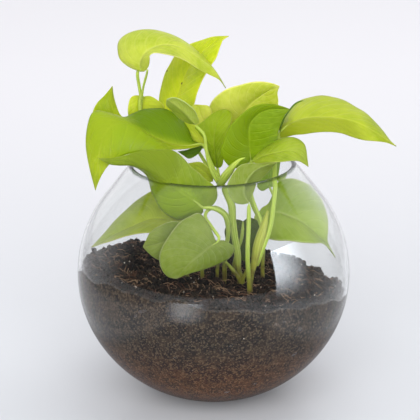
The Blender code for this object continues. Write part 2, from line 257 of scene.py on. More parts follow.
floor = table_top(radius=6.0, rings=12, around=64)
board, tree, shader = new_finish("pale_table", Roughness=0.3, Specular_IOR_Level=0.25)
where = object_place(tree)
far = ramp(tree, parts_of(tree, where)["Y"], -0.25, 0.9)
cloud = ramp(tree, speckle(tree, 2.0, 3.0, where), 0.3, 0.7)
near_tone = blend_colours(tree, cloud, paint(209, 212, 217), paint(213, 216, 221))
tone = blend_colours(tree, far, near_tone, paint(236, 235, 240))
rays = node(tree, "LightPath").outputs
only_glossy = math_node(tree, "SUBTRACT", rays["Is Glossy Ray"], rays["Is Transmission Ray"])
mirrored = math_node(tree, "GREATER_THAN", only_glossy, 0.5)
beside = math_node(tree, "ABSOLUTE", parts_of(tree, where)["X"])
kept = times(tree, ramp(tree, beside, 0.08, 0.13), ramp(tree, beside, 0.4, 0.22))
dimmed = times(tree, mirrored, ramp(tree, kept, 0.0, 1.0, MIRROR_DIM, 0.0))
set_colour(tree, shader, blend_colours(tree, dimmed, tone, (0, 0, 0, 1)))
floor.data.materials.append(board)
print("floor faces:", len(floor.data.polygons))


# %% Lamps
def soft_lamp(name, place, aim, wide, tall, power, roll=0.0):
    lamp = bpy.data.lights.new(name, "AREA")
    lamp.shape = "RECTANGLE"
    lamp.size, lamp.size_y = wide, tall
    lamp.energy = power
    made = bpy.data.objects.new(name, lamp)
    scene.collection.objects.link(made)
    made.location = place
    towards = (Vector(aim) - Vector(place)).to_track_quat("-Z", "Y")
    made.rotation_euler = (towards @ Quaternion((0, 0, 1), math.radians(roll))).to_euler()
    made.visible_camera = False
    return made


def glass_lamp(name, place, aim, wide, tall, power, start, roll=0.0):
    """A lamp that shows as a fading patch in the glass and lights no matt surface. start is the
    share of its width over which the patch grows bright."""
    made = soft_lamp(name, place, aim, wide, tall, power, roll)
    made.visible_diffuse = False
    made.data.color = (0.86, 0.92, 1.0)
    made.data.use_nodes = True
    tree = made.data.node_tree
    across, upwards, _ = parts_of(tree, node(tree, "TexCoord").outputs["UV"])
    glow = times(tree, ramp(tree, across, 1.0, start), ramp(tree, upwards, 0.0, 0.6))
    glow = times(tree, glow, ramp(tree, across, 0.0, start))
    tree.links.new(glow, tree.nodes["Emission"].inputs["Strength"])


for made in (
        soft_lamp("lamp_above", (0.5, 1.0, 2.2), (0, 0.7, 0), wide=2.6, tall=2.0, power=19.0),
        soft_lamp("lamp_front", (-0.1, -1.9, 1.1), (0, 0, 0.05), wide=2.4, tall=1.8, power=46.0)):
    made.visible_glossy = made.visible_transmission = False
glass_lamp("lamp_window", (0.428, -0.186, 0.145), (0.04, -0.06, 0.08), wide=0.3, tall=0.33,
           power=2.9, start=0.02, roll=-10)
glass_lamp("lamp_low", (-0.058, -0.182, 0.033), (-0.014, -0.072, 0.066), wide=0.11, tall=0.06,
           power=0.07, start=0.4)

# %% The room
world = bpy.data.worlds.new("studio")
world.use_nodes = True
scene.world = world
room = world.node_tree
facing = parts_of(room, node(room, "TexCoord").outputs["Generated"])
behind = ramp(room, facing["Y"], -0.3, 0.45)
walls = blend_colours(room, behind, (0.1, 0.1, 0.105, 1), (0.9, 0.9, 0.92, 1))
above = ramp(room, facing["Z"], 0.35, 0.9)
walls = blend_colours(room, above, walls, (0.6, 0.6, 0.615, 1))
matt = node(room, "LightPath").outputs["Is Diffuse Ray"]
seen = blend_colours(room, matt, walls, (0.66, 0.66, 0.67, 1))
room.links.new(seen, room.nodes["Background"].inputs["Color"])
print("room:", world.name)

# %% [markdown]
# ## Making pieces
# Everything on the plant is a lofted sheet or a tube: points on smooth curves, joined by faces.
# So the cells below share some helpers: a smooth curve through given points, a mesh from rows
# of points, one that joins points that meet, and one that puts a finished mesh on the model in
# place of its plain solid.


# %% Curves, rows and pieces
def smooth_line(points, count):
    """count + 1 points, evenly spaced, on a smooth curve through the given ones."""
    p = np.array(points, float)
    p = np.vstack([2 * p[0] - p[1], p, 2 * p[-1] - p[-2]])
    t = np.linspace(0, 1, 12, endpoint=False)[:, None]
    runs = []
    for a, b, c, d in zip(p, p[1:], p[2:], p[3:]):
        runs.append(0.5 * (2 * b + (c - a) * t + (2 * a - 5 * b + 4 * c - d) * t ** 2
                           + (3 * b - a - 3 * c + d) * t ** 3))
    fine = np.vstack(runs + [p[-2]])
    steps = np.linalg.norm(np.diff(fine, axis=0), axis=1)
    length = np.concatenate([[0.0], np.cumsum(steps)])
    return at_lengths(fine, length, np.linspace(0, length[-1], count + 1))


def at_lengths(points, length, wanted):
    return np.stack([np.interp(wanted, length, points[:, k]) for k in range(points.shape[1])], axis=1)


def row_faces(rows, columns, closed=False):
    """Quads between rows of points; closed joins each row's end to its start."""
    across = columns if closed else columns - 1
    faces = []
    for i in range(rows - 1):
        for j in range(across):
            k = (j + 1) % columns
            faces.append((i * columns + j, i * columns + k, (i + 1) * columns + k, (i + 1) * columns + j))
    return faces


def make_mesh(name, points, faces, places=None):
    """A smooth mesh from points in millimetres, with places on it as its UV map."""
    mesh = bpy.data.meshes.new(name)
    mesh.from_pydata((np.asarray(points) * MM).tolist(), [], faces)
    if places is not None:
        corners = np.empty(len(mesh.loops), int)
        mesh.loops.foreach_get("vertex_index", corners)
        layer = mesh.uv_layers.new(name="UVMap")
        layer.data.foreach_set("uv", np.asarray(places, float)[corners].ravel())
    mesh.shade_smooth()
    return mesh


def weld(mesh, gap, fill=False, outward=True):
    """Joins points closer than gap (metres), and may fill open ends and turn faces outward."""
    bm = bmesh.new()
    bm.from_mesh(mesh)
    bmesh.ops.remove_doubles(bm, verts=bm.verts[:], dist=gap)
    if fill:
        bmesh.ops.holes_fill(bm, edges=[e for e in bm.edges if e.is_boundary])
    if outward:
        bmesh.ops.recalc_face_normals(bm, faces=bm.faces[:])
    bm.to_mesh(mesh)
    bm.free()


def add_piece(name, mesh, slot, replaced, *finishes):
    made = bpy.data.objects.new(name, mesh)
    scene.collection.objects.link(made)
    for finish in finishes:
        mesh.materials.append(finish)
    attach(made, "root")
    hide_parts(replaced)
    return made


def merge_meshes(name, parts):
    """One mesh from several (points, faces, places)."""
    points, faces, places, start = [], [], [], 0
    for some, ring, spot in parts:
        points.append(some)
        places.append(spot)
        faces += [tuple(start + k for k in face) for face in ring]
        start += len(some)
    return make_mesh(name, np.vstack(points), faces, np.vstack(places))


print("middle of a curve of five points:", np.round(smooth_line([(0, 0, 0), (1, 0, 1), (2, 0, 0)], 4)[2], 2))

# %% [markdown]
# ## Glass bowl
# The bowl is taken to be blown: an egg-round wall about a millimetre and a half thick, heavier
# at the foot, with a melted, rounded rim. A profile turned about the upright axis is how such a
# form is drawn, so the same profile as in the solid is turned here with many more steps. The
# glass is a shader with full transmission. For shadow and diffuse rays it is plain and nearly
# clear, so that the soil inside isn't dark.

# %% The bowl's profile
BOWL_RADIUS, BOWL_HALF_HEIGHT, BOWL_CENTRE = 75.0, 71.4, 69.0
RIM_HEIGHT, COLLAR_START, COLLAR_SPREAD = 131.0, 113.0, 7.0
BOWL_STEPS, BOWL_SIDES = 56, 144
WALL, FOOT_THICKNESS = 1.6, 4.6
RIM_ANGLE = math.asin((RIM_HEIGHT - BOWL_CENTRE) / BOWL_HALF_HEIGHT)
FOOT_ANGLE = math.asin(-BOWL_CENTRE / BOWL_HALF_HEIGHT)


def bowl_point(angle):
    """Radius and height of the outer face at an angle above the widest ring."""
    z = BOWL_CENTRE + BOWL_HALF_HEIGHT * math.sin(angle)
    rise = max(0.0, z - COLLAR_START) / (RIM_HEIGHT - COLLAR_START)
    return Vector((BOWL_RADIUS * math.cos(angle) + COLLAR_SPREAD * rise * rise, z))


def inside_point(angle, gap=0.0):
    """The inner face at that angle, or a face that keeps a gap to it."""
    along = bowl_point(angle + 0.001) - bowl_point(angle - 0.001)
    inward = Vector((-along.y, along.x)).normalized()
    low = max(0.0, -math.sin(angle)) ** 20
    return bowl_point(angle) + inward * (WALL + (FOOT_THICKNESS - WALL) * low + gap)


def bowl_profile(steps):
    """Inside from the bottom up, over the rounded lip, and down the outside to the foot."""
    inner = [inside_point(a) for a in np.linspace(-math.pi / 2, RIM_ANGLE, steps + 1)]
    outer = [bowl_point(a) for a in np.linspace(RIM_ANGLE, FOOT_ANGLE, steps + 1)]
    inner[0].x = 0.0
    middle = (outer[0] + inner[-1]) / 2
    across = outer[0] - middle
    up = Vector((-across.y, across.x))
    lip = [middle + across * math.cos(t) + up * math.sin(t) for t in np.linspace(math.pi, 0, 11)]
    return inner[:-1] + lip + outer[1:] + [Vector((0.0, 0.0))]


print("rim radius", round(bowl_point(RIM_ANGLE).x, 1), "foot radius", round(bowl_point(FOOT_ANGLE).x, 1))


# %% Turn the profile
def turned(profile, around):
    """Rings of points, one for each profile point, and the faces between them."""
    angles = np.linspace(0, 2 * math.pi, around, endpoint=False)
    ring = np.stack([np.cos(angles), np.sin(angles)], axis=1)
    points = np.vstack([np.column_stack([ring * max(p[0], 0.0), np.full(around, p[1])]) for p in profile])
    return points, row_faces(len(profile), around, closed=True)


points, faces = turned(bowl_profile(BOWL_STEPS), BOWL_SIDES)
mesh = make_mesh("glass_bowl_fine", points, faces)
weld(mesh, 0.00001)
mesh.shade_smooth()

glass, tree, shader = new_finish(
    "clear_blown_glass", Transmission_Weight=1.0, IOR=1.5, Roughness=0.0)
where = object_place(tree)
height = parts_of(tree, where)["Z"]
# Painted reflection: the glass above 130.6 mm, the top of the rim, is tinted dark grey-green to stand in for
# the dark line that the rim's reflections draw.
lip = ramp(tree, height, 0.1296, 0.1306)
rim_painted_dark = blend_colours(tree, lip, (0.97, 0.98, 0.975, 1), (0.17, 0.2, 0.17, 1))
set_colour(tree, shader, rim_painted_dark)
relief(tree, shader, speckle(tree, 26.0, 1.0, where), 0.0006, 0.06)
clear = node(tree, "BsdfTransparent", {"Color": (0.95, 0.97, 0.97, 1)})
rays = node(tree, "LightPath")
lit = math_node(tree, "MAXIMUM", rays.outputs["Is Shadow Ray"], rays.outputs["Is Diffuse Ray"])
mixed = node(tree, "MixShader", {0: lit, 1: shader.outputs[0], 2: clear.outputs[0]})
tree.links.new(mixed.outputs[0], tree.nodes["Material Output"].inputs["Surface"])
add_piece("glass_bowl_fine", mesh, "clear_glass", "glass_bowl", glass)
print("bowl faces:", len(mesh.polygons))

# %% [markdown]
# ## Potting soil
# Damp, dark soil of crumbs and brown root fibres fills the bowl a little over half. It presses
# against the glass, so its side follows the inner face and runs 0.2 mm into it, and its top is
# uneven and higher in front on the left. A closed skin is drawn from rings round the axis and
# roughened with noise. The crumbs, pale bits and fibres on it are separate small pieces, strewn
# with fixed seeds.

# %% The soil's surface
SOIL_HEIGHT, SOIL_SLOPE_X, SOIL_SLOPE_Y = 67.4, -0.10, -0.10
SOIL_SWELL = 1.5
SIDE_STEPS = 400
HOLLOWS = (3.0, 14, -30, 300), (4.0, 62, 24, 900)
PRESSED = -0.2


def soil_top(x, y):
    """Height of the smooth surface in millimetres. It lies 0.4 mm or more under the solid's top,
    because crumbs lie on it, and up to 5.7 mm under it at the back right, where the real soil's
    edge is lower. HOLLOWS hold depth, x, y and spread."""
    lumps = 1.3 * math.sin(0.11 * x + 0.6) * math.cos(0.13 * y + 0.4)
    lumps += 0.8 * math.sin(0.23 * x - 0.17 * y) + 0.6 * math.cos(0.31 * y + 0.19 * x)
    hollow = sum(deep * math.exp(-((x - cx) ** 2 + (y - cy) ** 2) / wide) for deep, cx, cy, wide in HOLLOWS)
    return SOIL_HEIGHT + SOIL_SLOPE_X * x + SOIL_SLOPE_Y * y + lumps - hollow


def crumbly(x, y, z):
    """Roughness of the soil at a point, about -1 to 1, in lumps of several sizes."""
    rough = noise.noise((x / 5.5, y / 5.5, z / 5.5)) + 0.7 * noise.noise((x / 2.1, y / 2.1, z / 2.1 + 9))
    return rough + 0.5 * noise.noise((x / 0.9 + 5, y / 0.9, z / 0.9))


def lying(x, y):
    """Height of the rough surface, where a crumb or a fibre lies."""
    return soil_top(x, y) + SOIL_SWELL * crumbly(x, y, 0.0)


def soil_skin(around=300, up=84, over=74):
    """Points of the side, bottom to top, then of the top surface, outside to middle."""
    side = [inside_point(a, PRESSED) for a in np.linspace(-math.pi / 2 + 0.02, 0.35, SIDE_STEPS)]
    side_r = np.array([p.x for p in side])
    side_z = np.array([p.y for p in side])
    rings = np.zeros((up + 1 + over, around, 3))
    for j, angle in enumerate(np.linspace(0, 2 * math.pi, around, endpoint=False)):
        cx, cy = math.cos(angle), math.sin(angle)
        heights = [soil_top(cx * r, cy * r) for r in side_r]
        top = next(k for k in range(SIDE_STEPS // 2, SIDE_STEPS) if side_z[k] >= heights[k])
        reach = np.interp(np.linspace(0, 1, up + 1), [0, 1], [0, top])
        for i, k in enumerate(reach):
            r, z = (np.interp(k, range(SIDE_STEPS), way) for way in (side_r, side_z))
            sink = 0.6 * crumbly(cx * r, cy * r, z) - 0.25 if 0 < i < up else 0.5
            r -= min(1.5, max(0.0, sink))
            rings[i, j] = (cx * r, cy * r, z)
        edge = side_r[top] - 0.3
        for i in range(over):
            r = edge * (1 - (i + 1) / over)
            x, y = cx * r, cy * r
            swell = SOIL_SWELL * crumbly(x, y, 0.0) * min(1.0, (i + 1) / 3)
            rings[up + 1 + i, j] = (x, y, soil_top(x, y) + swell)
    return rings


rings = soil_skin()
count, around = rings.shape[:2]
mesh = make_mesh("soil_fine", rings.reshape(-1, 3), row_faces(count, around, closed=True))
weld(mesh, 0.00001, fill=True)
print("soil faces:", len(mesh.polygons))

# %% Soil finish
damp_soil, tree, shader = new_finish("damp_soil", Roughness=0.85, Specular_IOR_Level=0.2)
where = object_place(tree)
bent = node(tree, "TexNoise", {"Vector": where, "Scale": 300.0, "Detail": 2.0}).outputs["Color"]
pulled = node(tree, "VectorMath", {0: bent, 1: (0.0013, 0.0013, 0.0013)}, operation="MULTIPLY").outputs[0]
pulled = node(tree, "VectorMath", {0: where, 1: pulled}, operation="ADD").outputs[0]
crumbs = node(tree, "TexVoronoi", {"Vector": pulled, "Scale": 1350.0})
tone = node(tree, "SeparateColor", {0: crumbs.outputs["Color"]}).outputs[0]
lumps = ramp(tree, tone, 0.5, 0.95)
warmth = ramp(tree, speckle(tree, 190.0, 3.0, where, 0.6), 0.42, 0.6)
depth = parts_of(tree, where)["Z"]
low = ramp(tree, depth, 0.055, 0.014)
dark = blend_colours(tree, warmth, paint(7, 5, 4), paint(44, 29, 21))
out = node(tree, "VectorMath", {0: where, 1: (1.0, 1.0, 0.0)}, operation="MULTIPLY").outputs[0]
out = node(tree, "VectorMath", {0: out}, operation="LENGTH").outputs["Value"]
side = math_node(tree, "MAXIMUM", ramp(tree, depth, 0.066, 0.058), ramp(tree, out, 0.0717, 0.0727))
dark = blend_colours(tree, side, dark, blend_colours(tree, warmth, paint(36, 32, 30), paint(62, 50, 40)))
shown = times(tree, lumps, ramp(tree, side, 0.0, 1.0, 0.35, 0.8))
body = blend_colours(tree, shown, dark, paint(104, 88, 72))
reddish = blend_colours(tree, warmth, paint(70, 38, 22), paint(108, 62, 32))
reddish = blend_colours(tree, lumps, reddish, paint(144, 100, 64))
body = blend_colours(tree, times(tree, low, 0.9), body, reddish)
# Painted shade: between the crumbs the soil is darkened by up to half towards near black.
painted_gap_shade = ramp(tree, crumbs.outputs["Distance"], 0.45, 0.8)
body = blend_colours(tree, times(tree, painted_gap_shade, 0.5), body, paint(8, 6, 5))
set_colour(tree, shader, body)
rough = math_node(tree, "SUBTRACT", speckle(tree, 900.0, 5.0, where, 0.6), crumbs.outputs["Distance"])
relief(tree, shader, rough, 0.0006, 0.8)
add_piece("soil_fine", mesh, "potting_soil", "soil", damp_soil)
print("soil finish:", damp_soil.name)


# %% Crumbs
STREWN_RADIUS = 71.6


def grain(centre, size, rng):
    """A rough crumb: an icosahedron pulled out of shape."""
    bm = bmesh.new()
    bmesh.ops.create_icosphere(bm, subdivisions=1, radius=1.0)
    shape = [v.co * size * rng.uniform(0.65, 1.25) for v in bm.verts]
    faces = [tuple(v.index for v in f.verts) for f in bm.faces]
    bm.free()
    spin = Matrix.Rotation(rng.uniform(0, 6.28), 3, "Z") @ Matrix.Rotation(rng.uniform(0, 6.28), 3, "X")
    return [Vector(centre) + spin @ v for v in shape], faces


def strewn(name, count, seed, small, large, finish, lift, on_side=0):
    """Grains lying on the soil, and on_side more pressed against the glass."""
    rng = random.Random(seed)
    points, faces = [], []
    for k in range(count + on_side):
        size = small + (large - small) * rng.random() ** 2.2
        angle = rng.uniform(0, 2 * math.pi)
        if k < count:
            r = STREWN_RADIUS * math.sqrt(rng.random())
            x, y = r * math.cos(angle), r * math.sin(angle)
            centre = (x, y, lying(x, y) + lift * size)
        else:
            place = inside_point(rng.uniform(-1.25, -0.06), 0.1)
            centre = (place.x * math.cos(angle), place.x * math.sin(angle), place.y)
            if place.y > soil_top(centre[0], centre[1]):
                continue
        some, ring = grain(centre, size, rng)
        faces += [tuple(len(points) + i for i in face) for face in ring]
        points += [tuple(v) for v in some]
    mesh = make_mesh(name, points, faces)
    mesh.shade_flat()
    return add_piece(name, mesh, "potting_soil", "soil", finish)


made = strewn("soil_crumbs", 7800, seed=11, small=0.45, large=2.1, finish=damp_soil, lift=0.7)
print("crumb faces:", len(made.data.polygons))

# %% Pale bits among the crumbs
bits = mottled_finish("pale_soil_bits", 0.8, 260.0, (136, 96, 66), (214, 202, 188), 1500.0, 0.0004, 0.5)
made = strewn("soil_bits", 420, seed=23, small=0.14, large=0.45, finish=bits, lift=5.0, on_side=260)
print("pale bit faces:", len(made.data.polygons))


# %% Tubes
def tube_parts(points, radii, count, sides=10):
    """Rings along a smooth curve, with a closed tip at each end: count steps along it, sides round
    it, and radii spread evenly over it. Returns points, faces and places."""
    line = smooth_line(points, count)
    stops = np.linspace(0, 1, len(radii))
    u = np.linspace(0, 1, count + 1)
    thick = np.interp(u, stops, radii)
    ahead = np.gradient(line, axis=0)
    ahead /= np.linalg.norm(ahead, axis=1, keepdims=True)
    side = np.cross(ahead[0], (0.3, -1.0, 0.2))
    side /= np.linalg.norm(side)
    turns = np.linspace(0, 2 * math.pi, sides, endpoint=False)
    rings, places = [], []
    for k in range(count + 1):
        side = side - ahead[k] * np.dot(side, ahead[k])
        side /= np.linalg.norm(side)
        up = np.cross(ahead[k], side)
        for turn in turns:
            rings.append(line[k] + thick[k] * (math.cos(turn) * side + math.sin(turn) * up))
            places.append((turn / (2 * math.pi), u[k]))
    faces = row_faces(count + 1, sides, closed=True)
    for end, way in ((0, -0.5), (count, 0.5)):
        rings.append(line[end] + way * thick[end] * ahead[end])
        places.append((0.5, end / count))
        tip = len(rings) - 1
        for j in range(sides):
            first, second = end * sides + j, end * sides + (j + 1) % sides
            faces.append((first, second, tip) if end else (second, first, tip))
    return np.array(rings), faces, np.array(places)


print("points of a short tube:", len(tube_parts([(0, 0, 0), (0, 0, 5)], (1.0, 1.0), 4)[0]))


# %% Root fibres on the soil
def fibres(name, count, seed, finish):
    rng = random.Random(seed)
    parts = []
    for _ in range(count):
        angle, r = rng.uniform(0, 2 * math.pi), 68 * math.sqrt(rng.random())
        x, y, heading = r * math.cos(angle), r * math.sin(angle), rng.uniform(0, 2 * math.pi)
        line, length = [], rng.uniform(1.0, 3.2)
        for k in range(5):
            line.append((x, y, lying(x, y) + (0.8 if k in (0, 4) else rng.uniform(1.4, 3.4))))
            heading += rng.uniform(-0.8, 0.8)
            x, y = x + length * math.cos(heading), y + length * math.sin(heading)
            if math.hypot(x, y) > 69:
                break
        if len(line) > 2:
            parts.append(tube_parts(line, (0.07, rng.uniform(0.09, 0.2), 0.05), 8, 4))
    return add_piece(name, merge_meshes(name, parts), "potting_soil", "soil", finish)


fibre = mottled_finish("root_fibre", 0.7, 120.0, (92, 56, 36), (160, 126, 98), 2500.0, 0.0002, 0.4)
made = fibres("root_fibres", 760, seed=5, finish=fibre)
print("fibre faces:", len(made.data.polygons))

# %% [markdown]
# ## What a leaf is made of
# A leaf of this plant is a thin heart-shaped blade with a pale midrib in a shallow groove, side
# veins that leave it forwards and arch along the margin, and a smooth, lightly waxy skin. Light
# comes through it, so the skin has some subsurface scattering. The veins are drawn twice from
# the same rule: as a fine quilted relief in the mesh and as a colour mask in a node group.

# %% Vein rule
VEINS = 11
VEIN_LEAN = 0.18
VEIN_BEND = 1.4


def vein_place(u, c):
    """Which vein a point is on: u along the margin from 0 to 1, c out from the midrib."""
    return VEINS * (u - VEIN_LEAN * c ** VEIN_BEND)


veins, given, result = new_group(
    "leaf_veins", [("Width", "Float")],
    [("Vein", "Float"), ("Rib", "Float"), ("Margin", "Float"), ("Length", "Float")])
uv = sheet_place(veins)
out = math_node(veins, "ABSOLUTE", math_node(veins, "MULTIPLY_ADD", uv[0], 2.0, -1.0))
bend = times(veins, math_node(veins, "POWER", out, VEIN_BEND), VEIN_LEAN)
place = times(veins, math_node(veins, "SUBTRACT", uv[1], bend), float(VEINS))
off = math_node(veins, "PINGPONG", place, 0.5)
fine = math_node(veins, "PINGPONG", times(veins, place, 4.0), 0.5)
main = node(veins, "MapRange", {"Value": off, "From Min": given["Width"], "From Max": 0.0}).outputs[0]
small = ramp(veins, fine, 0.16, 0.0, 0.0, 0.35)
veins.links.new(math_node(veins, "MAXIMUM", main, small), result["Vein"])
veins.links.new(ramp(veins, out, 0.07, 0.015), result["Rib"])
veins.links.new(ramp(veins, out, 0.955, 0.99), result["Margin"])
veins.links.new(uv[1], result["Length"])
print("veins a half:", VEINS)

# %% Leaf skin group
skin, given, result = new_group(
    "leaf_skin",
    [("Light", "Color"), ("Deep", "Color"), ("Vein Colour", "Color"), ("Edge Colour", "Color"),
     ("Vein Strength", "Float")],
    [("Color", "Color"), ("Height", "Float"), ("Gloss", "Float")])
lines = use_group(skin, veins, Width=0.13)
where = object_place(skin)
cloud = ramp(skin, speckle(skin, 55.0, 2.0, where), 0.36, 0.64)
mottle = ramp(skin, speckle(skin, 420.0, 3.0, where), 0.4, 0.62)
body = blend_colours(skin, cloud, given["Deep"], given["Light"])
body = blend_colours(skin, times(skin, mottle, 0.24), body, given["Vein Colour"])
drawn = times(skin, lines["Vein"], given["Vein Strength"])
body = blend_colours(skin, drawn, body, given["Vein Colour"])
body = blend_colours(skin, times(skin, lines["Rib"], 0.5), body, given["Vein Colour"])
body = blend_colours(skin, times(skin, lines["Margin"], 0.7), body, given["Edge Colour"])
tip = ramp(skin, lines["Length"], 0.93, 1.0)
body = blend_colours(skin, times(skin, tip, 0.4), body, given["Edge Colour"])
skin.links.new(body, result["Color"])
grooves = math_node(skin, "MAXIMUM", lines["Vein"], lines["Rib"])
pores = times(skin, speckle(skin, 1800.0, 2.0, where), 0.35)
skin.links.new(math_node(skin, "SUBTRACT", pores, grooves), result["Height"])
skin.links.new(ramp(skin, mottle, 0.0, 1.0, 0.36, 0.5), result["Gloss"])
print("leaf skin sockets:", [s.name for s in skin.interface.items_tree])


# %% Shaded halves and spots
# Painted shade: this group colours one half of a blade darker, from the foot up to a point along it, where
# that half lies in shade.
shade, given, result = new_group(
    "shaded_half",
    [("Color", "Color"), ("Shade Colour", "Color"), ("Side", "Float"), ("End", "Float"),
     ("Soft", "Float")],
    [("Color", "Color")])
uv = sheet_place(shade)
across = times(shade, math_node(shade, "SUBTRACT", uv[0], 0.5), given["Side"])
half = ramp(shade, math_node(shade, "DIVIDE", across, given["Soft"]), -0.35, 1.0)
before = ramp(shade, math_node(shade, "SUBTRACT", uv[1], given["End"]), 0.07, -0.05)
drawn = times(shade, half, before)
shade.links.new(blend_colours(shade, drawn, given["Color"], given["Shade Colour"]), result["Color"])

# Spots draw real blemishes, such as the dark specks on the upright leaf, and also soft patches of painted
# light and shade that lighten and darken parts of some blades.
spot, given, result = new_group(
    "blemish_and_shade_spot",
    [("Color", "Color"), ("Spot Colour", "Color"), ("Place", "Vector"), ("Size", "Float"),
     ("Strength", "Float")],
    [("Color", "Color")])
where = object_place(spot)
far = node(spot, "VectorMath", {0: where, 1: given["Place"]}, operation="DISTANCE").outputs["Value"]
rough = times(spot, speckle(spot, 900.0, 3.0, where), 0.7)
out = math_node(spot, "SUBTRACT", math_node(spot, "DIVIDE", far, given["Size"]), rough)
inside = ramp(spot, out, 0.75, 0.35)
drawn = times(spot, inside, given["Strength"])
spot.links.new(blend_colours(spot, drawn, given["Color"], given["Spot Colour"]), result["Color"])
print("groups:", [g.name for g in bpy.data.node_groups])


# %% Leaf finishes
VEIN_STRENGTH, SPOT_STRENGTH = 0.3, 0.85


def leaf_finish(name, tone, shaded=None, spots=()):
    """One side of a leaf, from its main tone. shaded is (colour, side, end, soft) for one half in
    painted shade, and spots hold (colour, place in mm, size in mm) for blemishes and for patches
    of painted light and shade."""
    finish, tree, shader = new_finish(
        name, Subsurface_Weight=0.3, Subsurface_Scale=0.0025, Specular_IOR_Level=0.3)
    shader.inputs["Subsurface Radius"].default_value = (0.8, 1.0, 0.2)
    red, green, blue = tone
    made = use_group(
        tree, skin, Light=paint(*tone), Deep=paint(0.87 * red, 0.9 * green, 0.6 * blue),
        Vein_Colour=paint(min(250, red + 14), min(250, green + 10), blue + 34),
        Edge_Colour=paint(min(250, red + 28), min(250, green + 18), blue + 60),
        Vein_Strength=VEIN_STRENGTH)
    body = made["Color"]
    for colour, place, size in spots:
        place = tuple(MM * v for v in place)
        body = use_group(tree, spot, Color=body, Spot_Colour=paint(*colour), Place=place,
                         Size=MM * size, Strength=SPOT_STRENGTH)["Color"]
    if shaded:
        colour, side, end, soft = shaded
        body = use_group(tree, shade, Color=body, Shade_Colour=paint(*colour), Side=side, End=end,
                         Soft=soft)["Color"]
    set_colour(tree, shader, body)
    tree.links.new(made["Gloss"], shader.inputs["Roughness"])
    relief(tree, shader, made["Height"], 0.00016, 0.9)
    return finish


UNDER = leaf_finish("leaf_underside", (164, 184, 92))
print("shared underside:", UNDER.name)


# %% Blade from three curves
ROWS, COLUMNS = 72, 14
BLADE = 0.5
RIB_LAG = 1.7
RIB_SINK = 0.3
RIB_STEPS = 400
QUILT = 0.07
BULGE = 0.07
NARROW = 8


def blade_rows(left, rib, right, wave, lag, phase):
    """Points of a blade between its left margin, midrib and right margin, all from foot to tip."""
    u = np.linspace(0, 1, ROWS + 1)
    left, right = smooth_line(left, ROWS), smooth_line(right, ROWS)
    fine = smooth_line(rib, RIB_STEPS)
    steps = np.linspace(0, 1, RIB_STEPS + 1)
    middle = at_lengths(fine, steps, u ** lag)
    ahead = at_lengths(np.gradient(fine, axis=0), steps, u ** lag)
    up = np.cross(right - left, ahead)
    for _ in range(6):
        up[1:-1] = (up[:-2] + 2 * up[1:-1] + up[2:]) / 4
    up[0], up[-1] = up[1], up[-2]
    up /= np.linalg.norm(up, axis=1, keepdims=True)
    points, places = [], []
    for i in range(ROWS + 1):
        for j in range(-COLUMNS, COLUMNS + 1):
            c = abs(j) / COLUMNS
            reach = (left if j < 0 else right)[i] - middle[i]
            wide = np.linalg.norm(reach)
            full = min(1.0, wide / NARROW)
            quilt = QUILT * abs(math.sin(math.pi * vein_place(u[i], c))) * full
            swell = BULGE * wide * 4 * c * (1 - c) + quilt * 4 * c * (1 - c)
            ripple = math.sin(2 * math.pi * (2.2 * u[i] + phase + 0.2 * (j < 0)))
            swell += wave * c * ripple * full
            points.append(middle[i] + reach * c + up[i] * swell)
            places.append((0.5 + 0.5 * j / COLUMNS, u[i]))
    return np.array(points), np.array(places), middle - RIB_SINK * up


RIBS = {}


def leaf_blade(name, foot, tip, left, rib, right, slot, replaced, tone, wave=0.25, lag=RIB_LAG,
               under=None, shaded=None, spots=()):
    """A leaf blade as one closed piece. The margins and the midrib all run from foot to tip, and
    left, rib and right hold the points between. tone colours its upper side, under its lower.
    Each leaf has its own tone, set to how bright it looks where it lies, so the tones hold painted
    light and shade as well as the leaves' own greens."""
    upper = leaf_finish(name + "_skin", tone, shaded, spots)
    lower = leaf_finish(name + "_underside", under, None, spots) if under else UNDER
    phase = sum(map(ord, name)) % 10 / 10
    curves = [[foot, *curve, tip] for curve in (left, rib, right)]
    points, places, RIBS[name] = blade_rows(*curves, wave, lag, phase)
    mesh = make_mesh(name, points, row_faces(ROWS + 1, 2 * COLUMNS + 1), places)
    weld(mesh, 0.00003, outward=False)
    mesh.shade_smooth()
    made = add_piece(name, mesh, slot, replaced, upper, lower)
    solid = made.modifiers.new("thickness", "SOLIDIFY")
    solid.thickness = BLADE * MM
    solid.offset = 0.0
    solid.use_even_offset = False
    solid.material_offset = 1
    rows = points.reshape(ROWS + 1, -1, 3)
    width = np.linalg.norm(rows[:, 0] - rows[:, -1], axis=1)
    print(name, "widest", round(float(width.max()), 1), "mm")


def single_leaf(replaced, *ends, **curves):
    """A leaf that comes out of the soil on a stalk of its own."""
    leaf_blade(replaced + "_blade", *ends, slot="leaf_green", replaced=replaced, **curves)


print("faces of a blade's grid:", ROWS * 2 * COLUMNS)

# %% [markdown]
# ## Leaves of the middle stem
# The middle stem carries the big leaf to the left, an upright leaf behind it, a young folded
# leaf, a small leaf that shows its underside and the low heart-shaped leaf in front. Each blade
# is given by its foot, its tip and the points between them on three curves, in millimetres: its
# left margin, its midrib and its right margin. Curves are chosen over one bent outline because
# real blades twist, and a margin drawn as a curve of its own can follow that.

